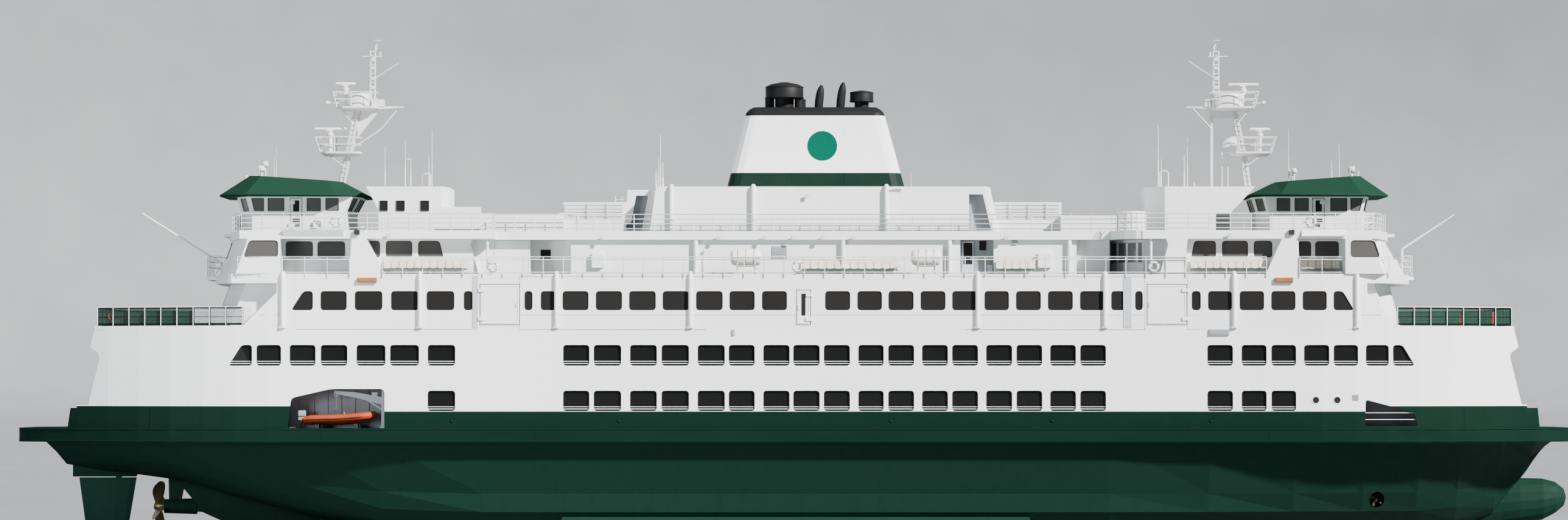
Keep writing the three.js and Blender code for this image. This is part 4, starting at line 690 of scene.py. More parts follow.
CABIN_ZS, HOUSE_ZS, PILOT_ZS = (CABIN_FLOOR, CABIN_TOP), (SUN_DECK, HOUSE_TOP), (1738, 1849)
CABIN_YS, SUN_YS, PILOT_YS = [327, 785, 1090], [547, 1094], [230, 430]
FRONTS = {
    ("cabin", "left"): front(CABIN_YS, [-4147, -4087, -3957], [-4040, -3980, -3850], CABIN_ZS, -1),
    ("cabin", "right"): front(CABIN_YS, [4322, 4262, 4132], [4245, 4185, 4055], CABIN_ZS, 1),
    ("sun", "left"): front(SUN_YS, [-4094, -3968], [-4006, -3883], HOUSE_ZS, -1),
    ("sun", "right"): front(SUN_YS, [4324, 4166], [4200, 4080], HOUSE_ZS, 1),
}
for side in ("left", "right"):
    for name, pitch, half, heights in (("cabin", 270, 95, CABIN_Z), ("sun", 290, 110, SUN_Z)):
        outlines = [rect(i * pitch - half, i * pitch + half, *heights) for i in range(-2, 3)]
        windows(f"{name}_front_{side}", outlines, FRONTS[name, side], lip=3, sink=8, end=True)


def slanted(sizes, low, high):
    """Window outlines. Columns: start at the foot, start at the head, end at the foot, end at the head."""
    return [[(foot_start, low), (foot_end, low), (head_end, high), (head_start, high)]
            for foot_start, head_start, foot_end, head_end in sizes]


# Windows of the sun deck's end houses, with the columns of slanted()
PROMENADE_WINDOWS = [
    (-3010, -3010, -2904, -2904), (-2867, -2867, -2679, -2679), (-2641, -2641, -2459, -2488),
    (2768, 2790, 2946, 2946), (2985, 2985, 3170, 3170), (3207, 3207, 3340, 3340)]
BAY_WINDOWS = [(-3581, -3581, -3386, -3386), (-3357, -3357, -3160, -3160), (3530, 3530, 3625, 3625),
               (3650, 3650, 3820, 3820)]
FRONT_WINDOWS = [(-3855, -3815, -3610, -3610), (3875, 3875, 4085, 4045)]
for name, sizes, half in (("promenade", PROMENADE_WINDOWS, PROMENADE_WALL), ("bay", BAY_WINDOWS, BAY_WALL),
                          ("front_side", FRONT_WINDOWS, SKIN)):
    windows(name, slanted(sizes, *SUN_Z), on_wall(half), pane="dim_glass")

# Sun deck fittings
# Rows of seats against a wall. Columns: from, to, wall's half-breadth
SEAT_ROWS = [(-2880, -2287, PROMENADE_WALL), (49, 720, CENTRE_WALL), (1408, 1689, CENTRE_WALL),
             (2763, 3290, PROMENADE_WALL), (3545, 3820, BAY_WALL)]
# A seat from its back to its front edge and back underneath. Columns: way out from the wall, z
SEAT_PROFILE = [(0, 1384), (6, 1386), (12, 1350), (18, 1334), (48, 1332), (56, 1328), (56, 1324),
                (20, 1326), (8, 1331), (4, 1345)]
SEAT_PITCH, SEAT_BAR = 52, 1318


def seats():
    """Moulded seats side by side, on a bar with legs."""
    shells, frames = Build(), Build()
    for x0, x1, wall in SEAT_ROWS:
        count = int((x1 - x0) / SEAT_PITCH)
        pitch = (x1 - x0) / count
        y = -wall - 12
        for i in range(count):
            a, b = x0 + i * pitch + 2, x0 + (i + 1) * pitch - 2
            middle = (a + b) / 2
            shells.rings([[(x, y - out, z + rise) for out, z in SEAT_PROFILE]
                          for x, rise in ((a, 1), (middle, -2.5), (b, 1))])
            frames.box((middle - 3, middle + 3), (y - 40, y - 8), (SEAT_BAR, SEAT_BAR + 7))
        for i in range(0, count + 1, 3):
            x = min(x1 - 4, x0 + 4 + i * pitch)
            frames.post(x, y - 28, SUN_DECK + 1, SEAT_BAR, 3.5)
            frames.box((x - 10, x + 10), (y - 40, y - 14), (SUN_DECK, SUN_DECK + 3))
        frames.box((x0, x1), (y - 32, y - 24), (SEAT_BAR - 6, SEAT_BAR + 2))
    shells.make_both("deck_seats", "seat", 40, 1.5)
    frames.make_both("seat_frames", "steel", 40)


BUOYS = [(-2110, -1228, 1333), (14, -1228, 1333), (2501, -1228, 1333), (-3207, -1212, 1648),
         (-3398, -444, 1650), (3600, -1212, 1648)]
BUOY_RADIUS = 30


def lifebuoys():
    """Rings with four bands and a grab line. Each is at x, y, z of its middle."""
    rings, bands, lines = Build(), Build(), Build()
    for x, y, z in BUOYS:
        rings.hoop((x, y, z), BUOY_RADIUS, 8)
        for quarter in (0.5, 1.5, 2.5, 3.5):
            a = quarter * math.pi / 2
            bands.tube([(x + BUOY_RADIUS * math.cos(a + t), y, z + BUOY_RADIUS * math.sin(a + t))
                        for t in (-0.2, -0.07, 0.07, 0.2)], 8.8, 8)
        reach = [(a, 40 + 3 * math.cos(4 * a)) for a in turns(24)]
        lines.tube([(x + r * math.cos(a), y, z + r * math.sin(a)) for a, r in reach], 1.1, 5, closed=True)
    rings.make_both("lifebuoys", "raft", 60)
    bands.make_both("lifebuoy_bands", "grey", 60)
    lines.make_both("lifebuoy_lines", "steel", 60)


RAFTS = [(-455, 220), (809, 212)]
RAFT_Y, RAFT_Z, RAFT_RADIUS, RAFT_LEGS = 1110, 1400, 57, (-48, 48)
RAFT_NOSE = [(0, 22), (4, 36), (12, 49), (26, 56), (40, RAFT_RADIUS)]


def rafts():
    """Raft canisters with bands and a seam, each on a cradle."""
    z, r = RAFT_Z, RAFT_RADIUS
    for i, (x0, length) in enumerate(RAFTS):
        for side, sign in (("starboard", -1), ("port", 1)):
            shell, straps, cradle = Build(), Build(), Build()
            y = sign * RAFT_Y
            shell.turned((x0, y, z), RAFT_NOSE + [(length - d, rr) for d, rr in RAFT_NOSE[::-1]], 28, "x")
            shell.box((x0 + 8, x0 + length - 8), (y - r - 3, y + r + 3), (z - 3, z + 3))
            for t in (0.24, 0.5, 0.76):
                straps.hoop((x0 + t * length, y, z), r + 1.5, 2.6, "x", 28, 6)
            ends = [x0 + t * length for t in (0.22, 0.78)]
            for x in ends:
                arc = [(x, y + 60 * math.cos(a), z + 60 * math.sin(a)) for a in np.linspace(3.5, 5.9, 9)]
                cradle.tube(arc, 4.5)
                for dy in RAFT_LEGS:
                    cradle.post(x, y + dy, SUN_DECK + 1, z + 14, 4.5)
                cradle.box((x - 8, x + 8), (y - 58, y + 58), (SUN_DECK + 0.4, SUN_DECK + 6))
            for dy in RAFT_LEGS:
                cradle.tube([(x, y + dy, z - 60) for x in ends], 4)
            name = f"raft_{i + 1}_{side}"
            shell.make(f"{name}_shell", "raft", 35, stands_for=[name])
            straps.make(f"{name}_straps", "steel", 60)
            cradle.make(f"{name}_cradle", "rail", 50)


# Boxes and vents on the centre house's side, by finish. Columns: x0, x1, z0, z1, how far out
WALL_BOXES = {
    "plain": [(-1431, -1350, 1330, 1433, 34), (1705, 1800, 1330, 1433, 34), (-652, -642, 1310, 1400, 8)],
    "grey": [(-165, -58, 1394, 1484, 5), (1521, 1560, 1493, HOUSE_TOP - 4, 10),
             (-652, -638, 1430, 1450, 14)],
}
WALL_PIPES, UPPER_PIPES = [-700, 336, 1085, 1927], [-872, -295, 643]
UPPER_WALL, LOUVRE_PITCH = 880, 12
# Dark grey linings at the back of the upper house's openings, painted shade for the inside of the recesses.
# Each: outline, half-breadth of the back
RECESSES = [
    ([(-1196, 1603), (-1086, 1603), (-1040, 1847), (-1125, 1847), (-1160, 1660), (-1196, 1640)], 630),
    ([(1224, 1601), (1380, 1601), (1322, 1850), (1224, 1850)], 810)]


def centre_house_fittings():
    wall = -CENTRE_WALL
    for finish, sizes in WALL_BOXES.items():
        boxes = Build()
        for x0, x1, z0, z1, out in sizes:
            boxes.box((x0, x1), (wall - out, wall + 1), (z0, z1))
            if finish == "grey" and x1 - x0 > 30:
                for i in range(int((z1 - z0) / LOUVRE_PITCH)):
                    z = z0 + 5 + i * LOUVRE_PITCH
                    boxes.box((x0 + 4, x1 - 4), (wall - out - 3, wall - out + 2), (z, z + 4))
        boxes.make_both(f"wall_boxes_{finish}", finish, None, 3)
    pipes, recess, door, dark = Build(), Build(), Build(), Build()
    for x in WALL_PIPES:
        pipes.post(x, wall - 18, SUN_DECK + 2, HOUSE_TOP - 2, 17, 12)
        for z in (1330, 1480):
            pipes.box((x - 22, x + 22), (wall - 14, wall + 2), (z, z + 8))
    foot = BRIDGE_DECK - 2
    for x0, x1, y, top, end in ((-1601, -1542, -800, 1709, 1640), (-1678, -1533, -815, 1714, foot)):
        pipes.tube([(x0, y, foot), (x0, y, top - 18), (x0 + 8, y, top - 5), (x0 + 20, y, top),
                    (x1 - 20, y, top), (x1 - 8, y, top - 5), (x1, y, top - 18), (x1, y, end)], 7, 10)
    for x in UPPER_PIPES:
        bend = [(x, -898, 1890), (x, -892, 1902), (x, -878, 1907)]
        pipes.tube([(x, -UPPER_WALL - 18, BRIDGE_DECK + 2)] + bend, 17, 12)
    pipes.tube([(664, -892, 1882), (700, -892, 1890), (745, -892, 1890), (752, -892, 1880)], 7, 10)
    pipes.make_both("house_pipes", "plain", 40)
    # Dark grey linings at the back of the door recess and of the openings: painted shade.
    recess.box((1163, 1395), (-843, -839.6), (1293, 1527))
    for outline, back in RECESSES:
        recess.side(inset(outline, 1), (-back - 3, -back + 0.5))
    recess.make_both("doorway_lining", "lining")
    door.box((1176, 1256), (-852, -843), (1296, 1518))
    door.box((1356, 1390), (-900, -843), (1293, 1352))
    dark.box((1186, 1248), (-855, -851), (1358, 1508))
    dark.box((1293, 1345), (-850, -842), (1456, 1522))
    dark.box((-1801, -1728), (-703, -699), (1400, 1464))
    door.tube([(x, -901, z) for x, z in rect(-2117, -1876, 1300, 1522)], 1.6, closed=True)
    door.post(1238, -862, 1386, 1402, 3)
    door.make_both("house_doors", "bluegrey", None, 2)
    dark.make_both("house_door_glass", "glass", None, 2)


# Screens of glass around the corner of the centre house
SHELTER = [(2231, 560), (2276, 700), (2339, 800), (2407, 862), (2449, 889)]


def shelter_glass():
    panes, bars = Build(), Build()
    for start, stop in zip(SHELTER, SHELTER[1:]):
        a, b = Vector(start), Vector(stop)
        along = (b - a).normalized()
        inward = Vector((along.y, -along.x))
        plan = [a + inward * 8, b + inward * 8, b + inward * 11, a + inward * 11]
        panes.rings([[(p.x, -p.y, z) for p in plan] for z in (1370, 1512)])
        for z in (1372, 1510):
            bars.tube([(p.x, -p.y, z) for p in (a - inward * 1, b - inward * 1)], 3)
    panes.make_both("shelter_glass", "haze_glass")
    bars.make_both("shelter_beads", "bluegrey", 50)


# Plan of the ladder's cage, then the round stand of rails on the bridge deck
LADDER = [(-1272, -690), (-1276, -665), (-1272, -640)]
DRUM_X, DRUM_Y, DRUM_RADIUS = 2383, -600, 101


def upper_gear():
    """Rails on the raised rooms, a caged ladder, louvres and screens on the bridge deck."""
    rails, slats, panels, wings, shade_line = (Build() for _ in range(5))
    for x0, x1, posts in ((-1634, -1210, (-1621, -1467, -1330)), (1376, 1878, (1514, 1652, 1777))):
        for z in (1708, 1741, 1763, 1788):
            rails.tube([(x0, -712, z), (x1, -712, z)], 3)
        for x in posts:
            rails.box((x - 4, x + 4), (-715, -699), (1690, 1792))
    for z in range(1698, 1842, 24):
        rails.tube([(x, y, z) for x, y in [(-1204, -690)] + LADDER + [(-1204, -640)]], 2.6)
    for x, y in LADDER + [(-1225, -690), (-1225, -640)]:
        rails.post(x, y, BRIDGE_DECK if x > -1230 else 1694, 1842, 2.6)
    for z in (1600, 1664, 1726):
        rails.hoop((DRUM_X, DRUM_Y, z), DRUM_RADIUS, 3, "z", 36, 6)
    for i in range(9):
        a = math.pi * (1 + i / 8)
        rails.post(DRUM_X + DRUM_RADIUS * math.cos(a), DRUM_Y + DRUM_RADIUS * math.sin(a), 1592, 1730, 2.2)
    rails.make_both("upper_rails", "rail", 50)
    panels.box((2997, 3092), (-504, -499), (1612, 1724))
    for i in range(7):
        panels.box((2999, 3090), (-508, -503), (1618 + i * 15, 1624 + i * 15))
    for i in range(8):
        slats.box((4068, 4144), (-244, -234), (1620 + i * 13, 1627 + i * 13))
    slats.box((4064, 4148), (-250, -228), (1722, 1732))
    for x in (4070, 4142):
        slats.box((x - 4, x + 4), (-240, -230), (BRIDGE_DECK - 1, 1724))
    for z in (1628, 1653, 1678, 1703):
        slats.tube([(-3957, -244, z), (-3957, -232, z)], 8, 12)
    slats.make_both("slatted_screens", "plain", 40, 0.8)
    panels.box((-4008, -3946), (-234, -228), (1612, 1716))
    for x in (-4004, -3950):
        panels.box((x - 3, x + 3), (-236, -228), (BRIDGE_DECK - 1, 1716))
    panels.make_both("nose_screens", "slate", None, 1)
    wings.side(rounded(rect(-2533, -2210, 1603, 1759), 14), (-908, -899))
    wings.make_both("wing_screens", "plain", 40, 1)
    # A thin dark tube along the foot of the wing screens: painted shadow under them.
    shade_line.tube([(-2533, -909, 1600), (-2210, -909, 1600)], 2.4)
    shade_line.make_both("wing_screen_shadow_line", "gasket", 50)
    outlines = [rect(x0, x1, 1742, 1820) for x0, x1 in ((-2956, -2895), (-2839, -2774), (-2666, -2601))]
    windows("bridge_house", outlines, on_wall(BRIDGE_WALL), 4.5, 8, sink=1)


# Floodlights on the bridge deck's edges and on the upper house. Columns: x, y, z
FLOODLIGHTS = [(x, -967, 1556) for x in (-1357, -545, -216, -15, 190, 408, 1480)] + [
    (80, -882, 1850), (-2840, -1217, 1566), (3030, -1217, 1566)]


def floodlights():
    """Small lamps on brackets, the hoods of the bays and the sidelights' boxes."""
    cases, lenses, hoods, lamps = Build(), Build(), Build(), Build()
    for x, y, z in FLOODLIGHTS:
        cases.tube([(x, y + 2, z - 8), (x, y - 14, z - 8)], 2.4)
        cases.rings([[(px, y - 12 - d, pz) for px, pz in rect(x - w, x + w, z - 14 - w, z - 14 + w)]
                     for d, w in ((0, 7), (5, 11), (14, 13))])
        lenses.box((x - 10, x + 10), (y - 27.5, y - 26), (z - 24, z - 4))
    cases.make_both("floodlights", "grey", None, 1)
    lenses.make_both("floodlight_glass", "lamp")
    for x0, x1, high, low in ((-3577, -3153, 1246, 1217), (3534, 3839, 1217, 1247)):
        section = [(-1212, 1545), (-low, 1545), (-high, 1592), (-1212, 1592)]
        hoods.rings([[(x, y, z) for y, z in section] for x in (x0, x1)])
    hoods.make_both("bay_hoods", "plain", None, 4)
    for x0, x1 in ((-3079, -3041), (3446, 3484)):
        lamps.box((x0, x1), (-SKIN - 26, -SKIN + 1), (1556, 1590))
    lamps.make_both("sidelight_boxes", "dark", None, 2)


seats()
lifebuoys()
rafts()
centre_house_fittings()
shelter_glass()
upper_gear()
floodlights()

# Doors. Columns: name, x, width, foot, head, half-breadth of the wall, which end has the hinges
DOORS = [("shell_door_left", -2199, 272, 930, 1206, SKIN, -1), ("midship_door", 9, 95, 930, 1168, SKIN, 1),
         ("shell_door_right", 2456, 274, 930, 1206, SKIN, 1),
         ("pilothouse_door_left", -3594, 78, 1610, 1836, PILOT_WALL, -1),
         ("pilothouse_door_right", 3690, 78, 1610, 1836, PILOT_WALL, 1)]


def door_fittings():
    """Frames, glass and handles that turn with each leaf."""
    for name, x, width, foot, head, half, hinge in DOORS:
        for side, sign in (("starboard", -1), ("port", 1)):
            body = f"{name}_{side}"
            face, panes = Build(), Build()
            place = lambda px, depth, z, s=sign, h=half: (px, s * (h - depth), z)
            outline = rect(x + 6, x + width - 6, foot + 6, head - 6)
            face.frame(rounded(outline, 16), rounded(inset(outline, 5), 12), (-3, 1), place)
            free = x + width - 16 if hinge < 0 else x + 16
            middle = (foot + head) / 2
            handle = [(0, -14), (-9, -14), (-9, 14), (0, 14)]
            face.tube([place(free, depth, middle + rise) for depth, rise in handle], 2.6)
            face.make(f"{body}_fittings", "plain", 40, body=body)
            if name.startswith("shell"):
                continue
            if name == "midship_door":
                pane = rect(x + 34, x + 62, 992, 1145)
            else:
                pane = rect(x + 18, x + width - 16, 1742, 1822)
                for z in range(1628, 1685, 14):
                    panes.side(rect(x + 14, x + width - 12, z, z + 8), (-2, 1), place)
            panes.side(rounded(pane, 6), (-2, 1), place)
            panes.make(f"{body}_glass", "glass", body=body)


# Pilothouse windows, with the columns of slanted(), and the end walls by side and the way they face
PILOT_BAND = (1744, 1841)
PILOT_SIDE_WINDOWS = [
    (-3855, -3878, -3781, -3781), (-3759, -3759, -3637, -3637), (-3481, -3481, -3377, -3377),
    (-3347, -3347, -3250, -3250), (3429, 3429, 3529, 3529), (3557, 3557, 3661, 3661),
    (3811, 3811, 3935, 3935), (3955, 3955, 4024, 4050)]
PILOT_FRONTS = {
    "left_fore": front(PILOT_YS, [-3960, -3867], [-3995, -3905], PILOT_ZS, -1),
    "left_aft": front(PILOT_YS, [-3166, -3205], [-3105, -3155], PILOT_ZS, 1),
    "right_aft": front(PILOT_YS, [3299, 3379], [3263, 3343], PILOT_ZS, -1),
    "right_fore": front(PILOT_YS, [4080, 4042], [4107, 4069], PILOT_ZS, 1),
}
# A corner window leans with its wall: y at the foot from, to, and how far both shift by the head
PILOT_CORNER, CORNER_LEAN = (261, 389), 11
ROOF_PROFILE = [(-4102, 1866), (-3905, 2006), (-3243, 1962), (-3066, 1866), (3252, 1866), (3439, 1959),
                (4050, 2004), (4228, 1866)]
ROOF_EAVES = [(-4102, -3066), (3252, 4228)]


def roof_z(x):
    """Height of the pilothouse roofs on the centreline."""
    return float(np.interp(x, *zip(*ROOF_PROFILE)))


def pilothouses():
    looks = (20, 7, "light_glass")
    windows("pilot_side", slanted(PILOT_SIDE_WINDOWS, *PILOT_BAND), on_wall(PILOT_WALL), *looks)
    low, high = PILOT_BAND
    near, far = PILOT_CORNER
    corner = [(near, low), (far, low), (far + CORNER_LEAN, high), (near + CORNER_LEAN, high)]
    outlines = [rect(y - 62, y + 62, low, high) for y in (-145, 0, 145)]
    outlines += [corner, [(-y, z) for y, z in corner[::-1]]]
    for name, place in PILOT_FRONTS.items():
        windows(f"pilot_{name}", outlines, place, *looks, lip=3, sink=8, end=True)
    beads, lamps = Build(), Build()
    for x0, x1 in ROOF_EAVES:
        plan = [(x0, -330), (x0 + 200, -560), (x1 - 200, -560), (x1, -330)]
        beads.tube([(x, y, 1858) for x, y in plan + [(x, -y) for x, y in plan[::-1]]], 9, 8, closed=True)
    beads.make("roof_edges", "roof", 50)
    for x in (-3951, 4056):
        z = roof_z(x)
        lamps.post(x, 0, z - 6, z + 30, 5)
        lamps.ball((x, 0, z + 36), 9)
    lamps.make("roof_lamps", "plain", 60)


# Antennas. Columns: x, y, foot, top, radius
WHIPS = [
    (-3755, 60, roof_z(-3755), 2160, 2.5), (-3728, -60, roof_z(-3728), 2222, 2.5),
    (3554, 0, roof_z(3554), 2350, 3.5), (3868, 40, roof_z(3868), 2121, 5),
    (3916, -30, roof_z(3916), 2248, 4),
] + [(x, y, BRIDGE_ROOF, top, radius) for x, y, top, radius in (
    (-2948, -60, 2222, 4), (-2807, 0, 2270, 5), (-2767, 0, 2138, 5), (-2640, 60, 2156, 5),
    (-2610, -60, 2337, 3.5), (2616, 0, 2380, 5), (2641, 60, 2135, 5), (2800, -40, 2163, 6),
    (2830, 60, 2296, 4), (2870, -60, 1966, 8))
] + [(x, y, UPPER_ROOF, top, radius) for x, y, top, radius in (
    (-1001, 0, 2060, 7), (-985, 40, 2140, 5), (-968, -40, 2309, 4.5), (-952, 0, 2110, 7),
    (840, 200, 2040, 2.5))]
# Arches on the bridge houses' roofs. Columns: x, width, top
HOOPS = [(-2655, 60, 2029), (2657, 62, 2048)]
# Searchlights: x, z and the way they look. Their drum's columns: place along it, radius
SEARCHLIGHTS = [(-3842, 2046, -1), (3582, 2018, 1), (4008, 2040, 1)]
DRUM = [(-26, 12), (-14, 24), (20, 26), (24, 22)]
# Balls on stems. Columns: x, y, the stem's foot, top and radius, then the ball's z and radius
BALLS = [(-3824, 90, 1985, 2085, 8, 2099, 26), (3588, -70, 1975, 2030, 7, 2046, 22)]


def roof_gear():
    gear = Build()
    for x, y, foot, top, r in WHIPS:
        mid = foot + (top - foot) * 0.45
        gear.tube([(x, y, foot - 4), (x, y, mid), (x, y, mid + 6), (x, y, top)], [r, r, r * 0.6, r * 0.4])
        gear.post(x, y, foot - 3, foot + 10, r * 2.2, 8)
    for x, width, top in HOOPS:
        h, foot = width / 2, BRIDGE_ROOF - 3
        gear.tube([(x - h, 0, foot), (x - h, 0, top - 12), (x - h + 12, 0, top), (x + h - 12, 0, top),
                   (x + h, 0, top - 12), (x + h, 0, foot)], 5, 8)
    gear.tube([(-2807, 0, 2134), (-2767, 0, 2134)], 4)
    for x, z, way in SEARCHLIGHTS:
        gear.post(x, 0, z - 60, z - 8, 12, 10)
        gear.tube([(x - 14, y, z + dz) for y, dz in ((-24, 8), (-24, -12), (24, -12), (24, 8))], 4)
        gear.turned((x, 0, z + 18), [(way * d, r) for d, r in DRUM], 16, "x")
    for x, y, foot, top, stem, z, radius in BALLS:
        gear.ball((x, y, z), radius)
        gear.post(x, y, foot, top, stem, 10)
    gear.make("roof_gear", "rail", 50)


door_fittings()
pilothouses()
roof_gear()

# Masts. column: x, z, half-width. arm: x, half-width, depth. radars: x, z, length. posts: x, top,
# radius. The other entries are places in x, or in x and z.
MASTS = {
    "left": {
        "column": [(-3263, 1946, 25), (-3152, 2494, 24)], "low": (-3412, -3121), "high": (-3292, -3000),
        "arm": [(-3010, 40, 18), (-2819, 14, 7)],
        "radars": {"low": (-3347, 2352, 236), "high": (-3238, 2678, 150)},
        "box": (-3242, -3056), "side_box": (-3046, -2956), "topmast": (-3060, -3026),
        "yard": (-3119, -2973),
        "gaff": ((-3020, 2720), (-2850, 2831)), "lamp": (-3300, -3367), "dish": -3022, "knob": -2989,
        "braces": [[(-3358, 2160), (-3221, 2062)], [(-3258, 2484), (-3186, 2392)],
                   [(-3145, 2240), (-3013, 2327), (-2965, 2369), (-2861, 2496)]],
        "plate": [(-3164, 2492), (-2984, 2492), (-3148, 2290)], "posts": [],
    },
    "right": {
        "column": [(3262, 1922, 24), (3236, 2127, 22), (3162, 2494, 21)],
        "low": (3129, 3425), "high": (2990, 3304), "arm": [(2816, 14, 7), (3000, 40, 18)],
        "radars": {"low": (3347, 2350, 150), "high": (3229, 2672, 223)},
        "box": (2992, 3236), "side_box": (2948, 2990), "topmast": (3014, 3052), "yard": (2978, 3117),
        "gaff": ((3010, 2724), (2840, 2837)), "lamp": (3306, 3377), "dish": 3019, "knob": 2990,
        "braces": [[(3364, 2163), (3252, 2085)], [(3262, 2484), (3186, 2392)],
                   [(2864, 2492), (2996, 2350)]],
        "plate": [(2984, 2492), (3150, 2492), (3150, 2430), (2984, 2425)],
        "posts": [(2999, 2490, 11), (3075, 2200, 4.5), (3117, 2180, 4.5)],
    },
}
# Both platforms of a mast: height of the deck, half-breadth
LOW_Z, HIGH_Z, LOW_HALF, HIGH_HALF = 2185, 2510, 92, 112


def platform(build, span, half, top, thick, cut=40):
    """A deck plate with cut corners, bevelled towards its underside."""
    x0, x1 = span
    rings = []
    for by, z in ((30, top - thick), (0, top - thick * 0.45), (0, top)):
        near = [(x0 + by, -half + cut), (x0 + cut, -half + by), (x1 - cut, -half + by),
                (x1 - by, -half + cut)]
        rings.append([(x, y, z) for x, y in near + [(x, -y) for x, y in near[::-1]]])
    build.rings(rings)


def platform_rail(build, span, half, top, outer, lean=34):
    """Two rails around a platform whose outer end leans out."""
    tip, root = span if outer < 0 else span[::-1]
    for rise, share in ((52, 0.5), (104, 1.0)):
        reach = tip + outer * lean * share
        plan = ((root, -half + 8), (reach, -half + 8), (reach, half - 8), (root, half - 8))
        build.tube([(x, y, top + rise) for x, y in plan], 4.2)
    for y in (-half + 8, half - 8):
        build.tube([(tip, y, top - 4), (tip + outer * lean, y, top + 104)], 4.2)
        for t in (0.35, 0.8):
            build.post(tip + (root - tip) * t, y, top - 4, top + 104, 3.6)


def mast(side):
    m = MASTS[side]
    out = -1 if side == "left" else 1
    body = Build()
    column = m["column"]
    body.rings([[(x - h, -h, z), (x + h, -h, z), (x + h, h, z), (x - h, h, z)] for x, z, h in column])
    xs, zs, _ = zip(*column)
    for i in range(16):
        z = zs[0] + (zs[-1] - zs[0]) * (i + 0.5) / 16
        x = float(np.interp(z, zs, xs))
        body.box((x - 27, x + 27), (-27, 27), (z, z + 4))
        body.tube([(x - 14, -34, z + 10), (x + 14, -34, z + 10)], 2.2)
    for dx in (-14, 14):
        body.tube([(x + dx, -34, z) for x, z in zip(xs, zs)], 2.6)
    platform(body, m["low"], LOW_HALF, LOW_Z, 30)
    platform(body, m["high"], HIGH_HALF, HIGH_Z, 28)
    body.rings([[(x, y, z) for y, z in rect(-w, w, HIGH_Z - d, HIGH_Z + 2)] for x, w, d in m["arm"]])
    platform_rail(body, m["low"], LOW_HALF, LOW_Z, out)
    platform_rail(body, m["high"], HIGH_HALF, HIGH_Z, out, 28)
    for line in m["braces"]:
        for y in ((-60, 60) if len(line) == 2 else (0,)):
            body.tube([(x, y, z) for x, z in line], 5, 8)
    body.side(m["plate"], (-9, 9))
    for x, top, r in m["posts"]:
        body.post(x, 0, 1921, top, r, 10)
    b0, b1 = m["box"]
    middle, reach = (b0 + b1) / 2, (b1 - b0) / 2
    body.rings([[(middle + (reach - by) * math.cos(a), (78 - by) * math.sin(a), HIGH_Z + rise)
                 for a in turns(28)] for rise, by in ((-1, 0), (84, 0), (92, 4), (97, 16))])
    body.box(m["side_box"], (-40, 40), (HIGH_Z - 1, HIGH_Z + 52))
    t0, t1 = m["topmast"]
    for x in (t0, t1):
        body.post(x, 0, HIGH_Z - 2, 2911, [7, 5.5], 10)
    for z in (2560, 2620, 2684, 2748, 2815, 2862, 2909):
        body.tube([(t0 - 5, 0, z), (t1 + 5, 0, z)], 4.5)
    for z in (2640, 2705, 2780, 2840):
        body.box((t0 + 4, t1 - 4), (-9, 9), (z, z + 22))
    dish = m["dish"]
    body.post(dish, 0, 2905, 2968, [7, 5], 10)
    body.ball((dish, 0, 2930), 12)
    body.ball((dish + 8, 0, 2952), 9)
    body.turned((dish, 0, 0), ((2966, 10), (2974, 30), (2985, 46), (2989, 47), (2987, 30)), 20)
    body.tube([(x, 0, 2873) for x in m["yard"]], 4.5, 8)
    body.tube([(t0 + 17, y, 2877) for y in (-70, 70)], 5, 8)
    body.post(m["knob"], 0, 2870, 2905, [6, 9], 8)
    (gx, gz), (hx, hz) = m["gaff"]
    body.tube([(t0 + 17, 0, gz - 12), (gx, 0, gz), (hx, 0, hz)], 3.6)
    l0, l1 = m["lamp"]
    body.tube([(l0 - out * 20, 0, HIGH_Z + 26), (l1, 0, HIGH_Z + 28)], 5, 8)
    drum = [(out * d, r) for d, r in ((-18, 6), (-10, 16), (10, 17), (12, 13))]
    body.turned((l1, 0, HIGH_Z + 28), drum, 14, "x")
    for level, base in (("low", LOW_Z), ("high", HIGH_Z + 90)):
        x, z, _ = m["radars"][level]
        body.post(x, 0, base - 4, z - 58, [20, 15], 12)
        body.ball((x, 0, z - 44), 27, 0.78, 10, 18)
    if side == "right":
        horn = [(3078, 2222, 26), (3110, 2236, 44), (3160, 2256, 40), (3200, 2262, 24)]
        body.rings([[(x, y, h) for y, h in rect(-r, r, z - r * 0.4, z + r)] for x, z, r in horn])
    body.make(f"mast_{side}_fitted", "rail", 35, stands_for=[f"mast_{side}"])
    for level, (x, z, length) in m["radars"].items():
        bar = Build()
        ends = [(-length / 2 + by, h) for by, h in ((0, 4), (5, 9), (14, 10))]
        bar.rings([[(x + dx, h * 1.3 * math.cos(a), z + h * max(-0.9, min(0.9, 1.2 * math.sin(a))))
                    for a in turns(16)] for dx, h in ends + [(-dx, h) for dx, h in ends[::-1]]])
        bar.post(x, 0, z - 24, z - 6, [15, 12], 14)
        bar.box((x - 26, x + 26), (-12, 12), (z - 14, z - 8))
        name = f"radar_{level}_{side}"
        bar.make(f"{name}_fitted", "raft", 40, body=name, stands_for=[name])


for side in ("left", "right"):
    mast(side)

# Funnel cap and badge. Layers: x from, x to, half-breadth, corner radius, height over the funnel
CAP_LAYERS = [(-357, 643, 238, 78, 0.3), (-352, 638, 234, 77, 18), (-341, 627, 222, 74, 34),
              (-322, 608, 204, 68, 50), (-299, 585, 180, 60, 63)]
CAP_DECK = FUNNEL_TOP + 60
# Hooded vents. Columns: x, stem, reach, lower edge, upper edge, crown
VENTS = [(-76, 68, 136, 2571, 2650, 2687), (480, 51, 84, 2543, 2610, 2628)]
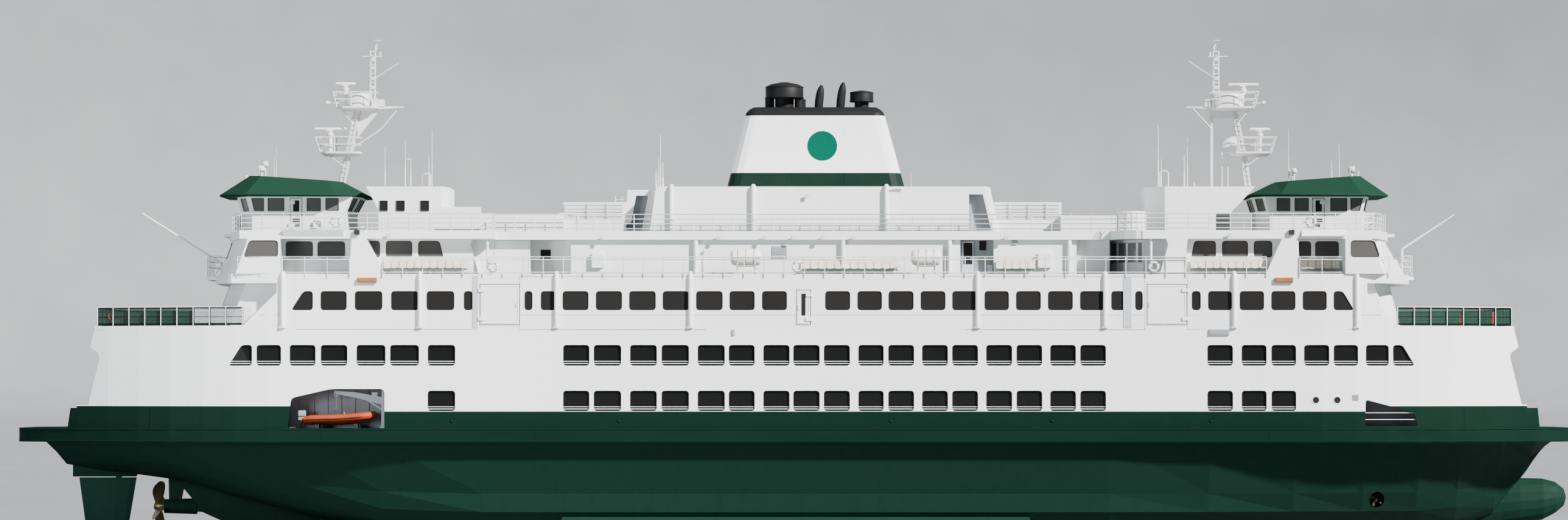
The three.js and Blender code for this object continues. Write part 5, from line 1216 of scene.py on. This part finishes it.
# Pipes with a collar: x, radius, top. Horn-shaped pipes: x, x of the tip, top
CAP_PIPES = [(-182, 33, 2575), (30, 33, 2575), (62, 16, 2564)]
CAP_HORNS = [(171, 192, 2667), (327, 350, 2687)]
BADGE_X, BADGE_Z, BADGE_RADIUS = 195, 2218, 107


def cap_ring(x0, x1, half, radius, z, steps=6):
    """A rectangle with round corners, in plan."""
    corners = [(x1 - radius, half - radius), (x0 + radius, half - radius), (x0 + radius, -half + radius),
               (x1 - radius, -half + radius)]
    return [(cx + radius * math.cos((q + i / steps) * math.pi / 2),
             cy + radius * math.sin((q + i / steps) * math.pi / 2), z)
            for q, (cx, cy) in enumerate(corners) for i in range(steps + 1)]


def funnel_side(x, depth, z):
    """A point on the funnel's starboard side, which leans in."""
    return (x, -(300 - 60 * (z - UPPER_ROOF) / (FUNNEL_TOP - UPPER_ROOF)) + depth, z)


def funnel_top():
    cap, seams = Build(), Build()
    cap.rings([cap_ring(*layer[:4], FUNNEL_TOP + layer[4]) for layer in CAP_LAYERS])
    for x, stem, reach, low, high, crown in VENTS:
        cap.turned((x, 0, 0), [
            (CAP_DECK, stem), (low + 10, stem), (low, reach - 6), (low, reach), (high, reach),
            (high + 6, reach - 4), (high + (crown - high) * 0.6, reach * 0.72), (crown, reach * 0.2)], 36)
        cap.hoop((x, 0, low + 5), reach + 1, 4, "z", 36, 6)
        cap.hoop((x, 0, high), reach + 1, 3, "z", 36, 6)
    for x, radius, high in CAP_PIPES:
        cap.post(x, 0, CAP_DECK, high, radius, 16)
        cap.hoop((x, 0, high - 5), radius, 3, "z", 20, 6)
    for x, tip, high in CAP_HORNS:
        path = [(x + (tip - x) * (i / 8) ** 1.6, 0, CAP_DECK + (high - CAP_DECK) * i / 8) for i in range(9)]
        cap.tube(path, [30, 31, 31, 31, 30, 29, 26, 20, 8], 14)
    cap.make("funnel_cap_fitted", "black", 40, stands_for=["funnel_cap"])
    badge = Build().side(circle(BADGE_X, BADGE_Z, BADGE_RADIUS, 48), (-2, 1), funnel_side)
    badge.make_both("funnel_badge", "disc", 40)
    seams.tube([funnel_side(x, 0, FUNNEL_GREEN_TOP) for x in (-380, 675)], 1.6)
    for x in (-60, 350):
        seams.tube([funnel_side(x, 0, z) for z in (1912, FUNNEL_TOP - 6)], 1.4)
    seams.make_both("funnel_seams", "funnel")


# End screens of green glass in green frames, with white rails outside them
SCREENS = {"left": (-4912, -3862), "right": (5052, 4212)}
SCREEN_FOOT, SCREEN_TOP, SCREEN_INSET = CABIN_FLOOR + 12, 1046, 19
SCREEN_POST_TOP, SCREEN_RAIL_Z = 1052, 1053


def end_screens():
    for side, (tip, root) in SCREENS.items():
        frames, panes, rails = Build(), Build(), Build()
        bars = ((SCREEN_FOOT, 7), (SCREEN_TOP, 5), (985, 3))
        along = np.linspace(min(tip, root), max(tip, root), round(abs(tip - root) / 118) + 1)
        for sign in (-1, 1):
            edge = [(x, sign * (skin(x) - SCREEN_INSET)) for x in along]
            for x, y in edge:
                frames.box((x - 5, x + 5), (y - 6, y + 6), (CABIN_FLOOR + 0.5, SCREEN_POST_TOP))
            for z, thick in bars:
                frames.tube([(x, y, z) for x, y in edge], thick)
            for (ax, ay), (bx, by) in zip(edge, edge[1:]):
                panes.rings([[(ax, ay - 1.5, z), (bx, by - 1.5, z), (bx, by + 1.5, z), (ax, ay + 1.5, z)]
                             for z in (SCREEN_FOOT, SCREEN_TOP)])
            rail(rails, [(x, y + sign * 13) for x, y in edge], CABIN_FLOOR, (SCREEN_RAIL_Z,), 152)
        width = skin(tip) - SCREEN_INSET
        x = tip + math.copysign(7, root - tip)
        for y in np.linspace(-width, width, 9):
            frames.box((x - 5, x + 5), (y - 5, y + 5), (CABIN_FLOOR + 0.5, SCREEN_POST_TOP))
        panes.box((x - 1.5, x + 1.5), (-width, width), (CABIN_FLOOR + 4, SCREEN_TOP))
        for z, thick in bars:
            frames.tube([(x, -width, z), (x, width, z)], thick)
        rails.tube([(x, -width, SCREEN_RAIL_Z), (x, width, SCREEN_RAIL_Z)], 3.4)
        frames.make(f"end_screen_{side}_frames", "green", 40, stands_for=[f"end_screen_{side}"])
        panes.make(f"end_screen_{side}_glass", "green_glass")
        rails.make(f"end_screen_{side}_rails", "rail", 50)
    reds = Build()
    reds.box((4880, 4920), (-skin(4900) + 24, -skin(4900) + 50), (925, 1020))
    reds.hoop((-4800, -skin(-4800) + 32, 990), 26, 7)
    reds.make_both("end_deck_red_gear", "red", 50, 2)


funnel_top()
end_screens()

# Rescue boat: a tube all round a moulded hull, with a console, seat and outboard motor
BOAT_X, BOAT_LENGTH, BOAT_Y, BOAT_HALF, BOAT_STRAIGHT = -3449, 519, -1075, 76, 0.72
# The hull's sections. Columns: share of the length, share of the breadth, rise of the keel
BOAT_SECTIONS = [(0.02, 0.86, 0), (0.3, 0.95, 0), (0.55, 0.95, 3), (0.75, 0.74, 14), (0.9, 0.36, 36),
                 (0.97, 0.1, 56)]


def sheer(t):
    """Height of the boat's edge at a share of its length."""
    return 262 + 12 * t + 50 * max(0.0, t - 0.45) ** 1.6


def rescue_boat():
    tube, hull, gear, dark = Build(), Build(), Build(), Build()
    y = BOAT_Y
    plan = [(i / 12 * BOAT_STRAIGHT, -1) for i in range(13)]
    bow = [(BOAT_STRAIGHT + 0.24 * math.sin(a), -math.cos(a))
           for a in (math.pi * i / 12 for i in range(1, 12))]
    path = [(BOAT_X + t * BOAT_LENGTH, y + share * BOAT_HALF, sheer(t) + 8)
            for t, share in plan + bow + [(t, 1) for t, share in plan[::-1]]]
    last = len(path) - 1
    tube.tube(path, [26 * min(1.0, 0.25 + 0.4 * min(i, last - i)) for i in range(last + 1)], 16)
    dark.tube([(px, y + (py - y) * 1.335, z - 4) for px, py, z in path[1:-1]], 4, 8)
    rings = []
    for t, wide, rise in BOAT_SECTIONS:
        x, w = BOAT_X + t * BOAT_LENGTH, 70 * wide
        rings.append([(x, y, 230 + rise), (x, y + w * 0.8, 246 + rise), (x, y + w, sheer(t)),
                      (x, y + w, sheer(t) + 8), (x, y - w, sheer(t) + 8), (x, y - w, sheer(t)),
                      (x, y - w * 0.8, 246 + rise)])
    hull.rings(rings)
    x = BOAT_X
    gear.rings([[(px, py, z) for px, py in rect(x - 30, x + 22, y - w, y + w)]
                for z, w in ((262, 10), (286, 12), (292, 20), (316, 23), (326, 18), (330, 9))])
    dark.tube([(x - 8, y, 262), (x - 10, y, 238)], 9, 10)
    dark.rings([[(x + a, y + s * w, z) for a, s in ((206, -1), (262, -1), (256, 1), (206, 1))]
                for z, w in ((268, 32), (296, 30), (302, 22))])
    gear.post(x + 290, y, 270, 318, 4, 8)
    for chock in (x + 90, x + 360):
        dark.box((chock, chock + 30), (y - 70, y + 70), (GUARD_TOP + 0.4, 236))
    tube.make("rescue_boat_tube", "orange", 60, stands_for=["rescue_boat"])
    hull.make("rescue_boat_hull", "orange", 40, 3)
    gear.make("rescue_boat_gear", "lining", 40, 3)
    dark.make("rescue_boat_dark", "dark", 50)


DAVIT_X, DAVIT_Y, DAVIT_REACH = -2884, -1075, 330
# The davit's arm. Columns: way along it, half-width, underside, top
DAVIT_ARM = [(14, 12, 360, 420), (-60, 13, 384, 432), (-200, 11, 420, 458), (-345, 8, 448, 468)]


def davit():
    """Slewing arm: round post, tapered box arm and fall, which turn together."""
    arm = Build()
    x, y, tip = DAVIT_X, DAVIT_Y, DAVIT_X - DAVIT_REACH
    arm.tube([(x, y, 205.4), (x, y, 218), (x, y, 218.5), (x, y, 470)], [26, 26, 16, 13], 16)
    arm.rings([[(x + dx, py, z) for py, z in rect(y - w, y + w, z0, z1)] for dx, w, z0, z1 in DAVIT_ARM])
    arm.tube([(x, y, 330), (x - 110, y, 402)], 8, 10)
    arm.post(tip, y, 452, 352, 2.2)
    arm.hoop((tip, y, 440), 12, 3.5)
    arm.hoop((tip, y, 346), 5, 2)
    arm.box((x - 80, x - 40), (y - 20, y + 20), (430, 456))
    arm.make("davit_fitted", "bluegrey", 40, 1.5, "davit", ["davit"])


def screw(name, centre, axis, radius, hub, chord, hub_half, thick, blades=4, skew=0.35):
    """A propeller with cupped, skewed blades on a rounded boss."""
    build = Build()
    turn = Matrix.Identity(3) if axis == "x" else Matrix.Rotation(math.pi / 2, 3, "Z")
    middle = Vector(centre)
    put = lambda v: tuple(middle + turn @ Vector(v))
    rows, cols = 11, 9
    # Points of a section: along one face and back along the other
    loop = [(2 * j / (cols - 1) - 1, face)
            for face, run in ((1, range(cols)), (-1, range(cols - 2, 0, -1))) for j in run]
    for b in range(blades):
        spin = Matrix.Rotation(2 * math.pi * b / blades + 0.4, 3, "X")
        rings = []
        for t in (i / (rows - 1) for i in range(rows)):
            r = hub * 0.7 + (radius - hub * 0.7) * t
            tip = math.sqrt(max(0.02, 1 - (max(0.0, t - 0.45) / 0.56) ** 2.4))
            width = chord * (0.42 + 1.05 * t - 0.1 * t * t) * tip
            pitch = math.radians(62 - 22 * t)
            lead = skew * radius * 0.5 * (t - 0.35) * abs(t - 0.35)
            ring = []
            for u, face in loop:
                c = u * width + lead
                h = face * thick * (1.0 - 0.75 * t) * 0.5 * (1 - u * u) - 0.06 * width * (1 - u * u)
                ring.append(put(spin @ Vector((c * math.sin(pitch) * 0.9 + h * math.cos(pitch),
                                               c * math.cos(pitch) * 0.95 - h * math.sin(pitch), r))))
            rings.append(ring)
        build.rings(rings)
    cap = [(-hub_half - 12, 0.35), (-hub_half - 4, 0.75), (-hub_half, 0.9), (0, 1.0), (hub_half, 0.92)]
    build.rings([[put((d, hub * s * math.cos(a), hub * s * math.sin(a))) for a in turns(24)]
                 for d, s in cap])
    build.make(f"{name}_fitted", "bronze", 50, body=name, stands_for=[name])


rescue_boat()
davit()
screw("propeller", (-4572, 0, -363), "x", 188, 34, 62, 28, 12)
screw("thruster_propeller", (4104, -700, -301), "y", 49, 15, 17, 14, 5)

# Ends of the boat bay and of the mooring bay, where no frames stand
BOAT_BAY, MOORING_BAY = (-3560, -2850), (3965, 4368)


def car_deck_interior():
    """Car deck seen from the ends: frames on the plating, beams, lamps overhead and the bays' linings."""
    frames, lamps, bay = Build(), Build(), Build()
    for x in map(float, np.linspace(-4700, 4900, 31)):
        blocked = any(o[0][0] - 12 < x < o[1][0] + 12 for o in UPPER_OUTLINES)
        inner = -skin(x) + PLATE_THICK
        if not (blocked or any(start < x < stop for start, stop in (BOAT_BAY, MOORING_BAY))):
            frames.box((x - 5, x + 5), (inner - 1, inner + 26), (GUARD_TOP + 2, PLATE_TOP - 1))
        frames.box((x - 4, x + 4), (-skin(x) + 40, 0), (876, PLATE_TOP - 0.5))
    for x in map(float, np.linspace(-4500, 4600, 21)):
        lamps.box((x - 40, x + 40), (-440, -425), (868, 876))
    frames.make_both("car_deck_frames", "plain")
    lamps.make_both("car_deck_lamps", "lamp", None, 2)
    foot = GUARD_TOP + 1
    bay.box(BOAT_BAY, (-950, -944), (foot, 500))
    bay.box(BOAT_BAY, (-1186, -950), (490, 496))
    for x in (BOAT_BAY[0], BOAT_BAY[1] - 2):
        bay.box((x - 3, x + 3), (-1180, -950), (foot, 490))
    for x in range(-3480, -2900, 96):
        bay.box((x, x + 6), (-958, -950), (foot, 490))
    bay.box(MOORING_BAY, (-930, -924), (foot, 430))
    bay.box(MOORING_BAY, (-1080, -930), (424, 430))
    bay.make("bay_linings", "lining")


car_deck_interior()

# Floor, light and camera. The floor is a wide dish with a rising rim, so that no view from
# the camera's distance meets its back.
FLOOR_Z = -0.556
DISH_RADIUS, RIM_CURVE, RIM_TOP, DISH_SIDES = 180.0, 16.0, 60.0, 96


def stage():
    profile = [(DISH_RADIUS * t, FLOOR_Z) for t in (0.1, 0.3, 0.6, 1.0)]
    for a in (math.pi / 2 * i / 8 for i in range(1, 9)):
        profile.append((DISH_RADIUS + RIM_CURVE * math.sin(a), FLOOR_Z + RIM_CURVE * (1 - math.cos(a))))
    profile.append((DISH_RADIUS + RIM_CURVE, RIM_TOP))
    points = [(r * math.cos(t), r * math.sin(t), z) for r, z in profile for t in turns(DISH_SIDES)]
    faces = [tuple(range(DISH_SIDES))]
    for ring in range(len(profile) - 1):
        for k in range(DISH_SIDES):
            a, b = ring * DISH_SIDES + k, ring * DISH_SIDES + (k + 1) % DISH_SIDES
            faces.append((a, a + DISH_SIDES, b + DISH_SIDES, b))
    mesh = bpy.data.meshes.new("floor")
    mesh.from_pydata(points, [], faces)
    mesh.shade_smooth()
    g = Graph("floor_paper")
    tone = g.span(g.noise(0.35, 2.0), 0.3, 0.7)
    g.put(g.shader.inputs["Base Color"], g.mix(tone, (0.19, 0.196, 0.205, 1), (0.21, 0.216, 0.225, 1)))
    g.shader.inputs["Roughness"].default_value = 0.9
    mesh.materials.append(g.material)
    floor = bpy.data.objects.new("floor", mesh)
    bpy.context.scene.collection.objects.link(floor)


def look_from(thing, place, aim):
    """Puts a lamp or camera at a place and turns it to an aim."""
    thing.location = place
    thing.rotation_euler = (Vector(aim) - Vector(place)).to_track_quat("-Z", "Y").to_euler()
    bpy.context.scene.collection.objects.link(thing)


def lamp(name, kind, place, aim, energy, **facts):
    data = bpy.data.lights.new(name, kind)
    data.energy = energy
    for key, value in facts.items():
        setattr(data, key, value)
    look_from(bpy.data.objects.new(name, data), place, aim)


def lights():
    world = bpy.data.worlds.new("studio")
    world.use_nodes = True
    background = world.node_tree.nodes["Background"]
    background.inputs["Color"].default_value = (0.74, 0.85, 1.0, 1)
    background.inputs["Strength"].default_value = 0.45
    bpy.context.scene.world = world
    lamp("low_fill", "AREA", (-8.0, -9.5, 1.2), (-4.7, 0, -0.3), 560.0, size=2.4, color=(0.9, 0.97, 1.0))
    lamp("key", "SUN", (26, -21, 22.5), (0, 0, 0.5), 14.6, angle=math.radians(2.5),
         color=(1.0, 0.985, 0.955))


EYE, AIM = (-0.079, -40.0, 0.5), (-0.079, 0.0, 1.407)
FOCAL_PX, FRAME_PX, SENSOR = 9130, 2576, 36.0


def camera():
    data = bpy.data.cameras.new("camera")
    data.sensor_width = SENSOR
    data.lens = FOCAL_PX / FRAME_PX * SENSOR
    data.clip_start, data.clip_end = 0.5, 400
    view = bpy.data.objects.new("camera", data)
    look_from(view, EYE, AIM)
    bpy.context.scene.camera = view


stage()
lights()
camera()
